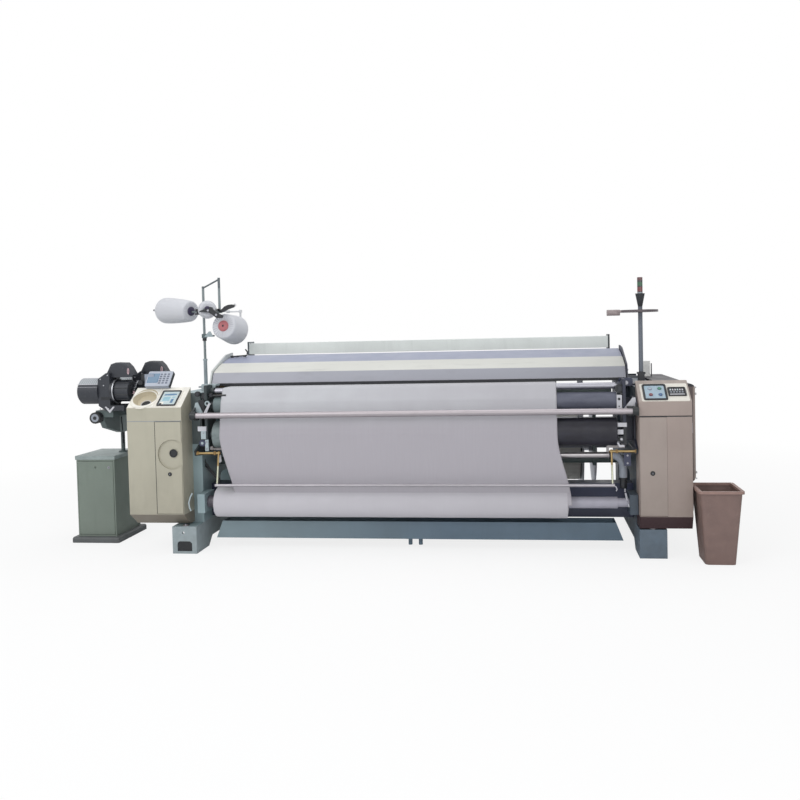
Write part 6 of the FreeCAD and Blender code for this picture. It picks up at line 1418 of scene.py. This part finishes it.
makeDeskTrim()
makeKeypadTrim()
makeDoorTrim()
makeHoodShadeStripAndCable()
makeFeederTrim()
makeStandTrim()
print("desk, door, hood and feeder trim made")
makeRollerEnds()
makeFrameTrim()
makeCoverTrim()
makeMotorTrim()
placeBolts()
print("roller ends, covers and bolts made")


cameraSizes = {"place": (0.7519, -5.5360, 1.4120), "yaw": 0.116537, "pitch": 0.032681, "roll": -0.022658,
               "lens": 35.554, "shift": (-0.04392, -0.05326)}


def makeCamera():
    s = cameraSizes
    forward = Vector((-math.sin(s["yaw"]) * math.cos(s["pitch"]), math.cos(s["yaw"]) * math.cos(s["pitch"]),
                      -math.sin(s["pitch"])))
    right = Vector((math.cos(s["yaw"]), math.sin(s["yaw"]), 0))
    up = right.cross(forward)
    tiltedRight = right * math.cos(s["roll"]) + up * math.sin(s["roll"])
    tiltedUp = up * math.cos(s["roll"]) - right * math.sin(s["roll"])
    data = bpy.data.cameras.new("view")
    data.lens = s["lens"]
    data.sensor_width = 36
    data.shift_x, data.shift_y = s["shift"]
    data.clip_end = 100
    camera = bpy.data.objects.new("view", data)
    turn = Matrix((tiltedRight, tiltedUp, -forward)).transposed()
    camera.matrix_world = Matrix.Translation(s["place"]) @ turn.to_4x4()
    bpy.context.collection.objects.link(camera)
    bpy.context.scene.camera = camera


# Each lamp is (name, place, size in metres, power in watts), turned to the loom's middle.
lightSizes = {
    "worldLevel": 0.55, "worldColour": (0.96, 0.98, 1.0, 1), "aim": (0, 0, 0.7),
    "lamps": (("key", (-3.2, -4.6, 4.2), 3.4, 95), ("front", (2.2, -5.6, 2.6), 3.0, 45),
              ("top", (0.2, 0.4, 5.0), 4.0, 60)),
}
white = (1, 1, 1, 1)


def seenDirectly(tree, *kinds):
    rays = tree.nodes.new("ShaderNodeLightPath")
    seen = rays.outputs["Is Camera Ray"]
    for kind in kinds:
        seen = sums(tree, "MAXIMUM", seen, rays.outputs[kind])
    return seen


def mixShaders(tree, share, first, second, output):
    mix = tree.nodes.new("ShaderNodeMixShader")
    for socket, value in zip(mix.inputs, (share, first.outputs[0], second.outputs[0])):
        tree.links.new(value, socket)
    tree.links.new(mix.outputs[0], tree.nodes[output].inputs["Surface"])


def makeLights():
    s = lightSizes
    for name, place, size, power in s["lamps"]:
        data = bpy.data.lights.new(name, "AREA")
        data.size = size
        data.energy = power
        lamp = bpy.data.objects.new(name, data)
        lamp.location = place
        lamp.rotation_euler = (Vector(s["aim"]) - Vector(place)).to_track_quat("-Z", "Y").to_euler()
        bpy.context.collection.objects.link(lamp)
    world = bpy.data.worlds.new("studio")
    bpy.context.scene.world = world
    world.use_nodes = True
    tree = world.node_tree
    light = tree.nodes["Background"]
    backdrop = tree.nodes.new("ShaderNodeBackground")
    for background, colour, level in ((light, s["worldColour"], s["worldLevel"]), (backdrop, white, 1.0)):
        background.inputs["Color"].default_value = colour
        background.inputs["Strength"].default_value = level
    seen = seenDirectly(tree, "Is Glossy Ray", "Is Transmission Ray")
    mixShaders(tree, seen, light, backdrop, "World Output")


# The floor glows for the camera, so that it shows white, less so near the loom, where its shadow stays.
floorSizes = {"radius": 30, "nearGlow": (2.6, 0.82), "farGlow": (5.5, 1.0), "gloss": 0.9}


def makeFloor():
    s = floorSizes
    bm = bmesh.new()
    bmesh.ops.create_circle(bm, cap_ends=True, segments=64, radius=s["radius"])
    floor = newPiece(bm, "studioFloor", [])
    finish, tree = startFinish("studioFloorWhite")
    surface = tree.nodes["Principled BSDF"]
    surface.inputs["Base Color"].default_value = white
    surface.inputs["Roughness"].default_value = s["gloss"]
    glow = tree.nodes.new("ShaderNodeEmission")
    glow.inputs["Color"].default_value = white
    glow.inputs["Strength"].default_value = 1.0
    seen = seenDirectly(tree, "Is Transmission Ray")
    x, y, _ = axisParts(tree)
    squares = [sums(tree, "POWER", side, 2) for side in (x, y)]
    far = sums(tree, "POWER", sums(tree, "ADD", *squares), 0.5)
    (near, nearLevel), (away, awayLevel) = s["nearGlow"], s["farGlow"]
    share = sums(tree, "MULTIPLY", seen, fade(tree, far, near, away, nearLevel, awayLevel))
    mixShaders(tree, share, surface, glow, "Material Output")
    floor.data.materials.append(finish)


makeCamera()
makeLights()
makeFloor()
bpy.context.scene.view_settings.view_transform = "Standard"
print("camera, lights and floor set")
